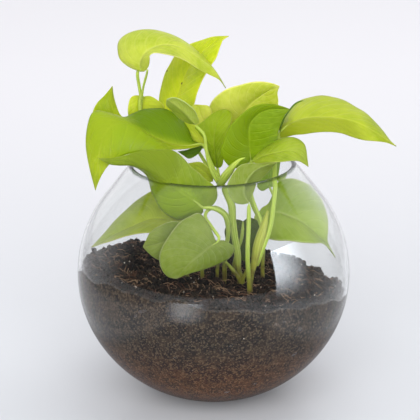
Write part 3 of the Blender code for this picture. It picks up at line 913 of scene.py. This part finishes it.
# %% The big leaf to the left
middle_leaf = partial(leaf_blade, slot="leaf_green", replaced="centre_vine")
# Painted shade: the right half of this blade, from the foot to about halfway along, is coloured dark green,
# and two soft, slightly darker patches are painted shade too.
middle_leaf("leaf_left_large", (-5, -5, 143), (-61, -39, 128),
    left=[(-8, -8, 142.5), (-13.5, -12, 142.5), (-21.5, -17, 143.5), (-29, -22, 144.5), (-36.5, -26, 145),
        (-41.5, -29, 145), (-46, -31, 144.5), (-51, -33, 142.5), (-54.5, -35, 140), (-57.5, -37, 136),
        (-59.5, -38.5, 132)],
    rib=[(-12, -8, 143), (-19, -11, 144), (-25.5, -13, 146.5), (-33, -15, 151), (-39.5, -18, 156),
        (-45.5, -21, 159.5), (-52, -25, 159.5), (-56.5, -29, 154.5), (-58.5, -33, 147),
        (-60, -37, 137.5)],
    right=[(-10.5, -1, 144), (-12, 2, 147.5), (-15, 4, 152.5), (-19.5, 5, 157), (-25, 5, 160),
        (-30.5, 3, 161), (-37, -1, 161.5), (-42.5, -6, 160.5), (-46.5, -11, 160), (-51.5, -13, 162),
        (-56.5, -15, 164), (-61, -17, 165), (-63.5, -19, 163.5), (-65, -22, 159.5), (-66, -25, 153.5),
        (-66, -28, 148), (-65, -31, 142), (-63.5, -35, 136.5)],
    tone=(153, 170, 21), lag=1.1, wave=0.15, shaded=((102, 131, 2), 1.0, 0.47, 0.12),
    spots=[
        ((141, 161, 18), (-57.5, -16.5, 164.5), 26.0),
        ((138, 162, 18), (-39.5, -25.6, 150.0), 15.0)])

# %% The upright leaf behind
middle_leaf("leaf_upright", (-21, 27, 152), (9.5, 16, 197.5),
    left=[(-25.5, 30, 150), (-29, 34, 153.5), (-29, 36, 159.5), (-27.5, 37, 166), (-25.5, 37, 173),
        (-23, 36, 178), (-20, 34, 183.5), (-16, 32, 188), (-11, 28, 191), (-5, 25, 193.5),
        (1.5, 20, 196.5)],
    rib=[(-19, 27, 161), (-16, 26, 169.5), (-12.5, 24, 178), (-6.5, 20, 186.5), (0.5, 17, 193),
        (5.5, 16.5, 196)],
    right=[(-17, 24, 150.5), (-12.5, 19, 154), (-9.5, 14, 160.5), (-8, 12, 166.5), (-5.5, 10, 174),
        (-3, 9, 179), (0, 9, 183.5), (2.5, 10, 186.5), (4, 11, 190), (5.5, 13, 194), (6.5, 14, 196)],
    tone=(203, 215, 26),
    spots=[
        ((70, 62, 16), (-16.0, 26.0, 169.4), 0.85),
        ((96, 84, 30), (-24.4, 35.9, 174.2), 0.8)])

# %% The young folded leaf
middle_leaf("leaf_young", (2.5, -6, 130), (7, 0, 161),
    left=[(-0.5, -5, 133), (-2.5, -4, 138.5), (-3.5, -4, 143.5), (-5.5, -5, 148.5), (-9, -7, 152.5),
        (-8.5, -7, 153.5), (-4.5, -5, 156), (0, -2, 159), (3.5, -1, 160.5)],
    rib=[(1.5, -7, 138.5), (1, -7, 146.5), (2, -5, 153), (4.5, -2.5, 158)],
    right=[(5, -9, 132), (6, -12, 137.5), (6.5, -13, 144), (7.5, -11, 150), (10, -8, 155),
        (10.5, -4, 158), (9.5, -1, 160)],
    tone=(140, 162, 21))

# %% New growth between the stalks
middle_leaf("leaf_new_growth", (-3.5, 2, 139), (-17, 6, 155),
    left=[(-6.5, 2, 139), (-10, 3, 141), (-12.5, 4, 144.5), (-14.5, 5, 148.5)],
    rib=[(-6.5, 1, 143), (-9, 2, 148)],
    right=[(-2.5, 0, 143.5), (-3.5, 1, 147.5), (-6.5, 3, 151)],
    tone=(206, 218, 62))

# %% A small leaf behind it
middle_leaf("leaf_back_growth", (-2, 0, 146), (-10, 5, 162.5),
    left=[(-6.5, 2, 150), (-10, 3, 155), (-11.5, 4, 159)],
    rib=[(-4, 2, 152.5), (-6, 3, 157.5), (-7.5, 4, 161.5)],
    right=[(-0.5, 1, 151.5), (0, 2, 157.5), (-1.5, 3, 162), (-5.5, 4, 162.5)],
    tone=(206, 212, 84))

# %% A small leaf under the big one, in its shade
# Painted shade: this small sheet fills a shaded wedge under the big leaf's midrib and is coloured dark green
# on both sides for that shade.
middle_leaf("leaf_turned_edge", (-4, -5, 143), (-18.5, -5, 139),
    left=[(-7, -5, 141.5), (-11.5, -5, 140.5), (-15, -5, 139.5)],
    rib=[(-8, -4, 140), (-13, -4, 138)],
    right=[(-6, -3, 139.5), (-9, -3, 136), (-12.5, -3, 134.5), (-15.5, -4, 136.5)],
    tone=(84, 118, 4), under=(96, 126, 26))

# %% A small leaf just above the rim
middle_leaf("leaf_low_growth", (0, -9, 123.5), (-13, -3, 132),
    left=[(-3.5, -8, 122.5), (-7.5, -6, 125.5), (-10.5, -4, 129)],
    rib=[(-3, -10, 128), (-6.5, -8, 130.5)],
    right=[(0, -12, 128.5), (-2.5, -12, 132.5), (-7, -8, 134)],
    tone=(186, 200, 60))

# %% The small leaf seen from below
middle_leaf("leaf_small", (-9, -18.5, 157.5), (-23.5, -24, 172.5),
    left=[(-7, -18, 158.5), (-7.5, -20, 162), (-9, -23, 166), (-11.5, -25, 169), (-14.5, -26, 172),
        (-18, -25.5, 173.5), (-21, -25, 173.5)],
    rib=[(-12, -20, 161.5), (-16, -21, 166), (-20.5, -22.5, 170)],
    right=[(-11.5, -14, 156.5), (-16, -12, 158.5), (-19.5, -12, 161.5), (-22.5, -15, 165.5),
        (-24, -19, 169)],
    tone=(142, 168, 66), under=(164, 179, 71))

# %% The low leaf in front
middle_leaf("leaf_front_low", (2, -44, 100.5), (-19.5, -51, 83),
    left=[(5, -43, 101), (8.5, -42, 99), (11, -41.5, 96), (9, -41.5, 91.5), (5, -42, 89), (-1, -44, 87),
        (-7, -47, 86), (-13.5, -49.5, 85)],
    rib=[(-2.5, -45.5, 98), (-7, -47, 94.5), (-12, -49, 91), (-16, -50, 87)],
    right=[(-0.5, -43, 101.5), (-1, -42, 105), (-2, -41.5, 108.5), (-4.5, -41, 112.5), (-7.5, -41, 115.5),
        (-11.5, -41, 114), (-16.5, -42, 111.5), (-20.5, -43, 107.5), (-24.5, -44.5, 102),
        (-27.5, -46, 96.5), (-28, -48, 91.5), (-26.5, -50, 87), (-23.5, -50.5, 84)],
    tone=(131, 146, 50))

# %% [markdown]
# ## Leaves of the stem at the back left
# The highest leaf arches over to the right on a thin stalk, with a small leaf hanging behind it and
# one at the far left that stands up behind the big leaf.

# %% The high arching leaf
back_leaf = partial(leaf_blade, slot="leaf_lime", replaced="back_vine")
back_leaf("leaf_top_arch", (-37.5, -2, 183), (7.5, 0, 172.5),
    left=[(-40.5, 1, 183), (-45, 6, 184), (-49, 10, 186.5), (-50.5, 14, 190.5), (-50, 17, 195),
        (-46, 18, 198.5), (-40, 18, 200.5), (-33, 18, 201), (-26, 17, 200), (-19, 15, 198),
        (-12.5, 13, 194.5), (-6, 9, 189.5), (0, 5, 183.5), (4.5, 2, 177.5)],
    rib=[(-37.5, -2, 187.5), (-35, -1, 192), (-31, 1, 194.5), (-25, 2, 196), (-18.5, 3, 195),
        (-12.5, 3, 192.5), (-6, 2, 188), (0.5, 1, 183), (4.5, 0, 177.5)],
    right=[(-35.5, -3, 183), (-33, -6, 186.5), (-32.5, -9, 190.5), (-32.5, -10, 193), (-30, -10, 194.5),
        (-25.5, -8, 193.5), (-19, -5, 191), (-13, -2, 187.5), (-6.5, 0, 183), (-1, 0, 180), (4, 0, 177)],
    tone=(185, 197, 63))

# %% The small hanging leaf
back_leaf("leaf_back_small", (-37.5, 12, 165.5), (-35, 22.5, 135),
    left=[(-33.5, 13, 165.5), (-30, 13.5, 163.5), (-26.5, 15, 160), (-25.5, 18, 153.5), (-28.5, 20, 146),
        (-32, 22, 139)],
    rib=[(-38, 11.5, 159.5), (-37.5, 14, 152), (-36.5, 19, 143.5)],
    right=[(-40.5, 11, 166.5), (-43.5, 9.5, 166), (-45, 8, 163), (-45.5, 7, 157.5), (-44, 12, 148.5),
        (-41, 18, 141)],
    tone=(187, 199, 48), lag=1.1)

# %% The leaf at the far left
back_leaf("leaf_left_back", (-44.5, 10, 138), (-53.5, 6, 173),
    left=[(-48.5, 9, 135.5), (-54, 7, 136), (-60, 4, 140), (-63, 1, 147), (-64, -2, 155),
        (-64, -3, 160.5), (-61.5, -2, 165.5), (-57.5, 1, 169)],
    rib=[(-47.5, 8, 144.5), (-51, 5, 151.5), (-53, 2, 159), (-54.5, 2, 166.5)],
    right=[(-40, 8, 136.5), (-37, 4, 141), (-38.5, 1, 147.5), (-42, 0, 153), (-47, 1, 156), (-50, 3, 159),
        (-52, 5, 163.5), (-53, 6, 168)],
    tone=(159, 176, 10))

# %% [markdown]
# ## Leaves of the right stem
# The right stem has the long leaf that reaches out to the right, a dark leaf that faces the front,
# the leaf that droops over the rim, a pale one behind and a small one behind the rim.

# %% The long leaf to the right
right_leaf = partial(leaf_blade, slot="leaf_lime", replaced="right_vine")
# Painted shade: the lower half of this blade, up to about three quarters along, is coloured darker olive,
# and a small darker patch lies by its foot.
right_leaf("leaf_right_long", (36.5, -4, 149), (97, -21, 145),
    left=[(36, 0, 151.5), (39, 5, 154), (43, 9, 158), (47.5, 10, 162.5), (53, 9, 164.5), (59.5, 7, 166),
        (66, 5, 165.5), (71.5, 2, 164.5), (77, -2, 162), (82, -6, 159.5), (86.5, -10, 155.5),
        (90.5, -15, 151.5), (94, -19, 147.5)],
    rib=[(41.5, -8, 154.5), (48.5, -11, 158), (57, -14, 159.5), (66, -16, 159.5), (75, -18, 158),
        (83.5, -20, 154), (91, -21, 149)],
    right=[(36.5, -5, 146), (39.5, -9, 147.5), (43.5, -14, 150), (48.5, -18, 151.5), (54.5, -21, 153),
        (62, -22.5, 153.5), (68, -23, 153), (73.5, -22.5, 151), (79.5, -22, 149), (86, -21.5, 148),
        (92, -21, 147)],
    tone=(168, 181, 37), shaded=((146, 157, 32), 1.0, 0.75, 0.12),
    spots=[
        ((150, 160, 40), (39.6, -6.6, 152.7), 6.0)])

# %% Its rolled margin
# Painted shade: this strip of the same leaf is coloured dark green for the shade where the margin curls
# under.
right_leaf("leaf_rolled_edge", (36.5, -5.5, 149.5), (52.5, 5, 163.5),
    left=[(36, -1.5, 152), (38.5, 4, 154.5), (42, 7.5, 158.5), (45.5, 8, 162), (48.5, 7, 163.5)],
    rib=[(36.5, -2, 152), (39.5, 2.5, 154.5), (43, 5.5, 158), (46.5, 6.5, 161.5), (49, 6, 163)],
    right=[(37, -3, 152), (40, 1, 154), (43.5, 4, 158), (47, 5, 161), (49.5, 5, 162.5)],
    tone=(92, 124, 14))

# %% The dark leaf
# Painted shade: the left half of this blade is coloured a little darker along its whole length.
right_leaf("leaf_right_dark", (20.5, -8, 135), (41, -11, 163.5),
    left=[(18, -9, 132.5), (13.5, -11, 131.5), (9.5, -13, 132.5), (6, -15, 137), (4.5, -16.5, 142),
        (5.5, -17, 146.5), (7, -17, 151), (9.5, -17, 156), (13.5, -17, 160.5), (19, -17, 165),
        (25, -15.5, 167), (31.5, -14, 167), (36.5, -12.5, 165.5)],
    rib=[(20, -9, 140.5), (19.5, -10, 147.5), (19.5, -11, 154.5), (22.5, -11.5, 159.5), (27.5, -12, 163),
        (34, -11.5, 164)],
    right=[(24.5, -7, 133), (29.5, -7, 135), (33, -7.5, 140.5), (35, -8, 146.5), (35.5, -8.5, 151.5),
        (37, -9.5, 156.5), (39, -10.5, 160.5)],
    tone=(134, 161, 4), shaded=((123, 148, 3), -1.0, 1.3, 0.3))

# %% The leaf over the rim
right_leaf("leaf_right_mid", (21, -19, 137), (50.5, -23.5, 135),
    left=[(23, -15, 139), (27, -12, 141.5), (32, -12, 145), (36.5, -13, 148), (42, -14.5, 149),
        (46, -16.5, 148), (48.5, -18.5, 146), (49.5, -20, 143), (50, -22, 139)],
    rib=[(26.5, -21, 140), (33, -23, 142.5), (40, -23.5, 144), (45, -23.5, 142.5), (48, -23.5, 139.5)],
    right=[(23, -24, 137.5), (28, -28, 138.5), (33.5, -30, 139.5), (39.5, -29, 140), (45, -26.5, 139),
        (48, -24.5, 137)],
    tone=(151, 169, 41))

# %% The pale leaf behind
right_leaf("leaf_top_right", (11, 10, 146.5), (36, -7, 175),
    left=[(6, 11, 144), (0.5, 10, 147.5), (-2, 8, 154), (-1.5, 6, 160.5), (0.5, 3, 165.5), (4.5, 0, 170),
        (9, -2, 173), (15, -4, 175), (21.5, -6, 177), (27.5, -7, 177.5), (32.5, -7, 176.5)],
    rib=[(13.5, 8.5, 152), (17.5, 5.5, 158.5), (22, 2, 164.5), (27.5, -2, 169.5), (32, -5, 173)],
    right=[(14, 10, 140.5), (20, 9, 139), (27, 7, 142.5), (32.5, 4, 149.5), (35, 0, 157.5),
        (35.5, -3, 165.5), (35, -5, 171)],
    tone=(211, 217, 88))

# %% The small leaf behind the rim
right_leaf("leaf_mid_back", (31, 3, 116.5), (37, 13, 134.5),
    left=[(27, 0, 115), (24, -2, 118), (24, -3, 123), (27, -1, 128), (30, 2, 132.5), (33.5, 7, 134.5)],
    rib=[(30.5, 4, 122), (31.5, 6, 127), (33.5, 9, 130.5)],
    right=[(33, 4, 116.5), (35.5, 6, 119.5), (36, 9, 122.5), (37, 11.5, 125.5), (37.5, 12.5, 130)],
    tone=(140, 166, 40))

# %% [markdown]
# ## Leaves on their own stalks
# Six more leaves come out of the soil each on a stalk of its own, four of them inside the glass.
# Behind glass a blade looks paler and softer, because the glass mirrors some of the bright room,
# so these leaves keep the skin of the others, each in its own tone.

# %% The leaf over the rim at the left
# Painted light and shade: a soft darker patch on the upper part of this blade and a lighter one on its lobe
# inside the glass.
single_leaf("leaf_front_left", (-5.5, -30, 115), (-59, -39.5, 145.5),
    left=[(-5.5, -28, 111.5), (-9, -26, 109.5), (-14, -24, 107.5), (-19, -23, 106.5), (-24, -22, 108.5),
        (-28, -22, 112), (-30, -23, 116.5), (-32, -24, 121.5), (-33, -26, 127.5), (-34.5, -28, 132.5),
        (-38, -30, 136.5), (-43, -33, 139.5), (-48.5, -36, 140.5), (-54, -38, 142)],
    rib=[(-11, -33, 121), (-17, -35, 126), (-24, -37, 131.5), (-31, -37, 137), (-38.5, -37, 141),
        (-47, -37.5, 143.5), (-53, -38.5, 144)],
    right=[(-1, -28, 115), (2, -27, 119), (2, -28, 124), (0, -30, 128), (-3.5, -31, 131),
        (-7.5, -33, 135.5), (-11.5, -34, 139), (-15, -35, 143.5), (-18.5, -36, 147), (-23, -36, 149),
        (-30, -36, 148.5), (-36.5, -36, 148.5), (-42.5, -37, 147), (-49, -38, 145.5), (-54, -38.5, 145)],
    tone=(128, 148, 22),
    spots=[
        ((112, 130, 14), (-29.9, -37.3, 143.6), 15.0),
        ((146, 170, 16), (-18.1, -29.8, 116.3), 13.0)])

# %% The leaf inside at the left
single_leaf("leaf_inner_left", (-19, -14, 101), (-65.5, -15, 88.5),
    left=[(-18.5, -20, 99), (-23, -25, 97.5), (-28.5, -28, 99), (-33.5, -29, 101), (-40, -28, 100.5),
        (-46.5, -25, 98), (-54, -21, 94), (-60, -18, 91.5)],
    rib=[(-26, -12.5, 103), (-34, -13, 103), (-42.5, -14, 100), (-52, -15, 96), (-59, -15, 92)],
    right=[(-14.5, -10, 101), (-12.5, -4, 104.5), (-15.5, 1, 110.5), (-23.5, 4, 115), (-30.5, 3, 115.5),
        (-36.5, 2, 113), (-42.5, 0, 109.5), (-48, -3, 105), (-53.5, -6, 100), (-58, -10, 95.5)],
    tone=(147, 160, 25))

# %% The small leaf behind the low one
single_leaf("leaf_low_left", (-14.5, -35, 101), (-37, -37, 96),
    left=[(-13, -35, 97), (-14, -35.5, 92.5), (-17.5, -36, 88.5), (-23.5, -36, 87), (-29.5, -37, 89),
        (-33.5, -37, 92)],
    rib=[(-19.5, -35, 99.5), (-25.5, -36, 98.5), (-31.5, -36.5, 97)],
    right=[(-13, -34, 104), (-16, -35, 108), (-21.5, -36, 109.5), (-28, -36, 107), (-33, -36, 103.5),
        (-35, -36.5, 100)],
    tone=(127, 141, 51))

# %% The leaf in front, seen from below
single_leaf("leaf_centre_front", (18.5, -37, 119.5), (33.5, -30, 139.5),
    left=[(20, -33, 121.5), (22, -29, 125), (24.5, -26, 128.5), (28, -26, 132), (31.5, -28, 136.5)],
    rib=[(16, -38, 125), (17, -37, 130), (19.5, -35, 134), (24, -32, 137)],
    right=[(15, -38, 119), (11, -39, 120.5), (8.5, -39, 124.5), (7.5, -38.5, 129.5), (9, -37, 133),
        (12, -35, 137), (15.5, -33, 139.5), (21, -31, 139.5), (27.5, -30, 139)],
    tone=(142, 168, 66), under=(133, 149, 52))

# %% The big leaf inside at the right
single_leaf("leaf_right_inner", (28, 3, 99), (68, 5, 74.5),
    left=[(25.5, 4, 101), (27, 5, 103.5), (30.5, 6, 105.5), (33, 8, 110), (34.5, 9.5, 115), (38, 11, 118),
        (44, 12, 118.5), (50, 12.5, 116.5), (55, 12.5, 114), (59, 12.5, 109), (62, 12, 103), (64, 11, 96),
        (64, 9, 90), (63.5, 8, 83.5), (65.5, 7, 78.5)],
    rib=[(35, 4.5, 101), (43, 6, 98), (50.5, 7, 93.5), (57, 7, 87.5), (62.5, 6, 81.5)],
    right=[(23.5, 1, 101), (22.5, -2, 98.5), (24, -6, 94), (28.5, -9, 91), (34.5, -12, 90.5),
        (41, -13, 90.5), (47.5, -12, 89), (54.5, -9, 87.5), (60, -3, 85.5), (64.5, 2, 80.5)],
    tone=(151, 170, 57))

# %% The small leaf low behind the stalks
# Painted shade: this leaf is coloured very dark green for the shade it lies in, low behind the stalks.
single_leaf("leaf_low_back", (16.5, -4, 98.5), (18, -5, 76),
    left=[(19.5, -5, 101), (23.5, -7, 100.5), (26, -8, 96.5), (26, -9, 91), (23.5, -8.5, 84.5),
        (20, -6.5, 79)],
    rib=[(16.5, -4.5, 93), (16.5, -5, 86.5), (17, -5, 80.5)],
    right=[(13, -3, 99.5), (9.5, -2, 98), (6.5, -2, 93.5), (7, -3, 88), (10, -4, 82), (14, -5, 78)],
    tone=(74, 91, 2))

# %% [markdown]
# ## Stems and stalks
# Three stems and six single stalks stand in the soil. A leaf's stalk is pale, a little grooved,
# and goes on into the leaf as its midrib, so it is drawn as one tube that runs on under the blade
# and thins out. Where a stalk leaves the stem an older one wraps it in a brownish sheath, and
# close to the soil the stems are old, brown and knotty. They all run on through the soil's closed
# skin, where the solids have plain holes.

# %% Stalk finishes
def stalk_finish(name, young, pale, old, brown, brown_top):
    """Streaked green, turning brown near the soil; brown_top is the height in metres."""
    finish, tree, shader = new_finish(
        name, Subsurface_Weight=0.25, Subsurface_Scale=0.002, Specular_IOR_Level=0.35)
    shader.inputs["Subsurface Radius"].default_value = (0.8, 1.0, 0.25)
    where = object_place(tree)
    height = parts_of(tree, where)["Z"]
    around, along, _ = sheet_place(tree)
    stretched = node(tree, "CombineXYZ", {0: times(tree, around, 9.0), 1: along})
    streaks = ramp(tree, speckle(tree, 3.0, 2.0, stretched.outputs[0]), 0.35, 0.65)
    blotch = ramp(tree, speckle(tree, 220.0, 3.0, where), 0.42, 0.62)
    body = blend_colours(tree, streaks, paint(*young), paint(*pale))
    worn = times(tree, ramp(tree, height, brown_top, brown_top - 0.02), 0.9)
    body = blend_colours(tree, worn, body, blend_colours(tree, blotch, paint(*old), paint(*brown)))
    set_colour(tree, shader, body)
    tree.links.new(ramp(tree, streaks, 0.0, 1.0, 0.4, 0.55), shader.inputs["Roughness"])
    relief(tree, shader, streaks, 0.0002, 0.4)
    return finish


STALK = stalk_finish("stalk_green", (160, 186, 56), (202, 216, 108), (130, 122, 38), (90, 64, 32), 0.090)
SHEATH = stalk_finish("stalk_sheath", (164, 172, 58), (192, 196, 88), (144, 142, 48), (104, 90, 38), 0.096)
print("stalk finishes:", STALK.name, SHEATH.name)


# %% Stalks that run on as midribs
def stalk(route, leaf, thick=1.15, share=0.8):
    """A tube along a route that goes on under a leaf's midrib, thinning out."""
    rib = RIBS[leaf]
    run = [tuple(p) for p in rib[: max(2, int(len(rib) * share)): 9]]
    line = [tuple(p) for p in route] + run
    lengths = [np.linalg.norm(np.subtract(a, b)) for a, b in zip(line, line[1:])]
    foot = sum(lengths[:len(route)]) / sum(lengths)
    stops = np.linspace(0, 1, 25)
    thins = [0, foot * 0.85, foot, foot + 0.25 * (1 - foot), 1]
    radii = np.interp(stops, thins, [thick, thick * 0.9, thick * 0.75, 0.5, 0.12])
    return tube_parts(line, radii, 60, 12)


def stem_piece(name, slot, replaced, *parts, finish=STALK):
    made = add_piece(name, merge_meshes(name, parts), slot, replaced, finish)
    print(name, len(made.data.polygons), "faces")


print("midribs to run on to:", len(RIBS))


# %% The middle stem
stem_piece(
    "centre_stem", "leaf_green", "centre_vine",
    tube_parts([(16, -15, 60), (15, -15, 67), (13.5, -15, 76), (13, -14, 84), (11.5, -14, 94),
        (10.5, -14, 102.5), (10, -14, 111), (8, -13, 116), (5.5, -12, 121.5), (4.5, -12, 125)],
        (2.0, 2.2, 1.5, 1.9, 1.9, 1.9, 2.0, 2.1, 1.9, 1.0), 80, 14),
    tube_parts([(6.5, -18, 80.5), (9.5, -18, 77), (13, -17, 72), (15.5, -17, 66)], (0.7, 1.1, 1.2, 1.0),
        24, 10),
    tube_parts([(19.5, -20, 80), (17.5, -19, 75), (15.5, -18, 69.5), (15, -17, 65)],
        (0.5, 0.9, 1.3, 1.2), 24, 10),
    tube_parts([(2, -11, 66), (2, -13, 74), (3, -16, 83.5)], (1.0, 1.0, 0.9), 16, 10),
    tube_parts([(3.5, -13, 122), (5.5, -20, 127.5), (8.5, -26, 133.5), (11.5, -30, 138.5),
        (14.5, -31, 141.5), (17, -31, 142.5)], (1.6, 2.2, 2.4, 2.1, 1.4, 0.2), 40, 12),
    stalk([(5, -12, 121), (1, -10, 129.5), (-2, -8, 136)], "leaf_left_large"),
    stalk([(4.5, -11, 120.5), (-1, -4, 127.5), (-6.5, 5, 134.5), (-13, 15, 143)], "leaf_upright",
        thick=1.0),
    stalk([(5.5, -12, 121), (3.5, -9, 126)], "leaf_young", thick=0.9),
    stalk([(4.5, -13, 122), (0.5, -15, 128), (-2.5, -16, 137.5), (-3.5, -17, 146), (-4.5, -18, 152)],
        "leaf_small", thick=0.85, share=0.12),
    stalk([(9.5, -15, 100), (7, -18, 107.5), (1.5, -22, 112.5), (-3, -28, 112.5), (-4, -33, 110.5),
        (-1.5, -37, 107.5), (1, -41, 105), (3, -43, 102.5)], "leaf_front_low", thick=1.0))

# %% The stem at the back left
stem_piece(
    "back_stem", "leaf_lime", "back_vine",
    tube_parts([(-9, 1, 56), (-9, 1, 72), (-12, 5, 90), (-20, 9, 112), (-30, 10, 130),
        (-37.5, 9, 150.5), (-39, 8.5, 162.5), (-38, 8, 166)], (1.7, 1.6, 1.5, 1.4, 1.3, 1.1, 1.0, 1.0),
        70, 14),
    tube_parts([(-38, 8, 165.5), (-36.5, 3, 173.5), (-34.5, -2, 181), (-34, -5, 184)],
        (0.8, 0.6, 0.7, 0.5), 24, 10),
    stalk([(-38, 8, 165), (-39.1, 5.0, 174.2), (-39.6, 2.5, 179.7), (-38.9, 2.0, 182.8)],
        "leaf_top_arch", thick=0.95),
    stalk([(-38.5, 8.5, 162)], "leaf_back_small", thick=0.9),
    stalk([(-31, 10, 135), (-36, 11, 139)], "leaf_left_back", thick=0.9))

# %% The right stem and its stalks
stem_piece(
    "right_stem", "leaf_lime", "right_vine",
    tube_parts([(19.5, -31, 60), (19.5, -31, 68.5), (20, -31, 75), (21.5, -29, 82.5), (24, -27, 91.5),
        (26.5, -24, 101)], (1.1, 1.1, 1.1, 1.2, 1.3, 1.2), 50, 12),
    stalk([(23, -28, 82), (25.5, -27, 89), (29, -24, 97.5), (31, -22, 104), (32, -20, 111.5),
        (33, -17, 120.5), (33, -14, 127.5), (33.5, -10, 135), (35.5, -6, 142.5)], "leaf_right_long",
        thick=1.35),
    stalk([(26, -23, 101), (24.5, -21, 106.5), (21.5, -18, 111.5), (20, -15, 117.5), (20, -11, 125.5)],
        "leaf_right_dark", thick=1.0),
    stalk([(26.5, -23, 100.5), (25, -22, 106.5), (22.5, -21, 112.5), (20.5, -20, 119), (20, -19, 128)],
        "leaf_right_mid", thick=0.9),
    stalk([(26, -20, 99.5), (24, -16, 105), (21.5, -10, 109), (19.5, -4, 114), (16.5, 4, 126),
        (13, 9, 138.5)], "leaf_top_right", thick=0.9),
    stalk([(30.5, -18, 100.5), (32.5, -10, 107), (33, -2, 112)], "leaf_mid_back", thick=0.8))

# %% The sheath
stem_piece(
    "right_sheath", "leaf_lime", "right_vine",
    tube_parts([(19.5, -31, 74), (20.5, -30.5, 78.5), (21.5, -29, 83), (23.5, -27, 92),
        (26.5, -24, 101), (28, -22, 105.5), (29, -21, 110)], (0.7, 1.5, 2.1, 2.6, 2.6, 1.7, 0.5), 60,
        16),
    finish=SHEATH)

# %% Single stalks
THICK_STALK, THIN_STALK = 1.3, 1.1
SINGLE_STALKS = {
    "leaf_front_left": [(6, -12, 62), (6, -14, 78), (7, -17, 89.5), (8, -19, 96.5), (7.5, -22, 103.5),
        (6, -25, 109), (2.5, -27, 112.5), (-1.5, -29, 114.5)],
    "leaf_inner_left": [(-14, -26, 66), (-14.5, -23, 79), (-16.5, -19, 89), (-18, -16, 95)],
    "leaf_low_left": [(-6, -18, 66), (-6.5, -19, 78.5), (-8.5, -24, 89.5), (-12, -31, 96.5)],
    "leaf_centre_front": [(19.5, -32, 62), (19, -33, 69.5), (18.5, -34, 78), (18, -35, 86.5),
        (18, -36, 95), (18.5, -37, 107.5)],
    "leaf_right_inner": [(27, -4, 64), (27, -4, 74), (27.5, -3, 82), (28, 0, 89.5)],
    "leaf_low_back": [(10.5, -7, 62), (11, -6, 73), (13.5, -5, 83), (15.5, -5, 90)],
}
for leaf_name, route in SINGLE_STALKS.items():
    share = 0.05 if leaf_name == "leaf_centre_front" else 0.8
    thick = THICK_STALK if leaf_name in ("leaf_front_left", "leaf_centre_front") else THIN_STALK
    stem_piece(leaf_name + "_stalk", "leaf_green", leaf_name,
               stalk(route, leaf_name + "_blade", thick, share))

# %% [markdown]
# ## Size and finish
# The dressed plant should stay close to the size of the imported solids, so both boxes are
# written down.

# %% Sizes
seen_box = [list(corner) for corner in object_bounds()]
for low, high, cad_low, cad_high in zip(*seen_box, *cad_box):
    print("visual", round(1000 * (high - low), 1), "mm, CAD", round(1000 * (cad_high - cad_low), 1), "mm")
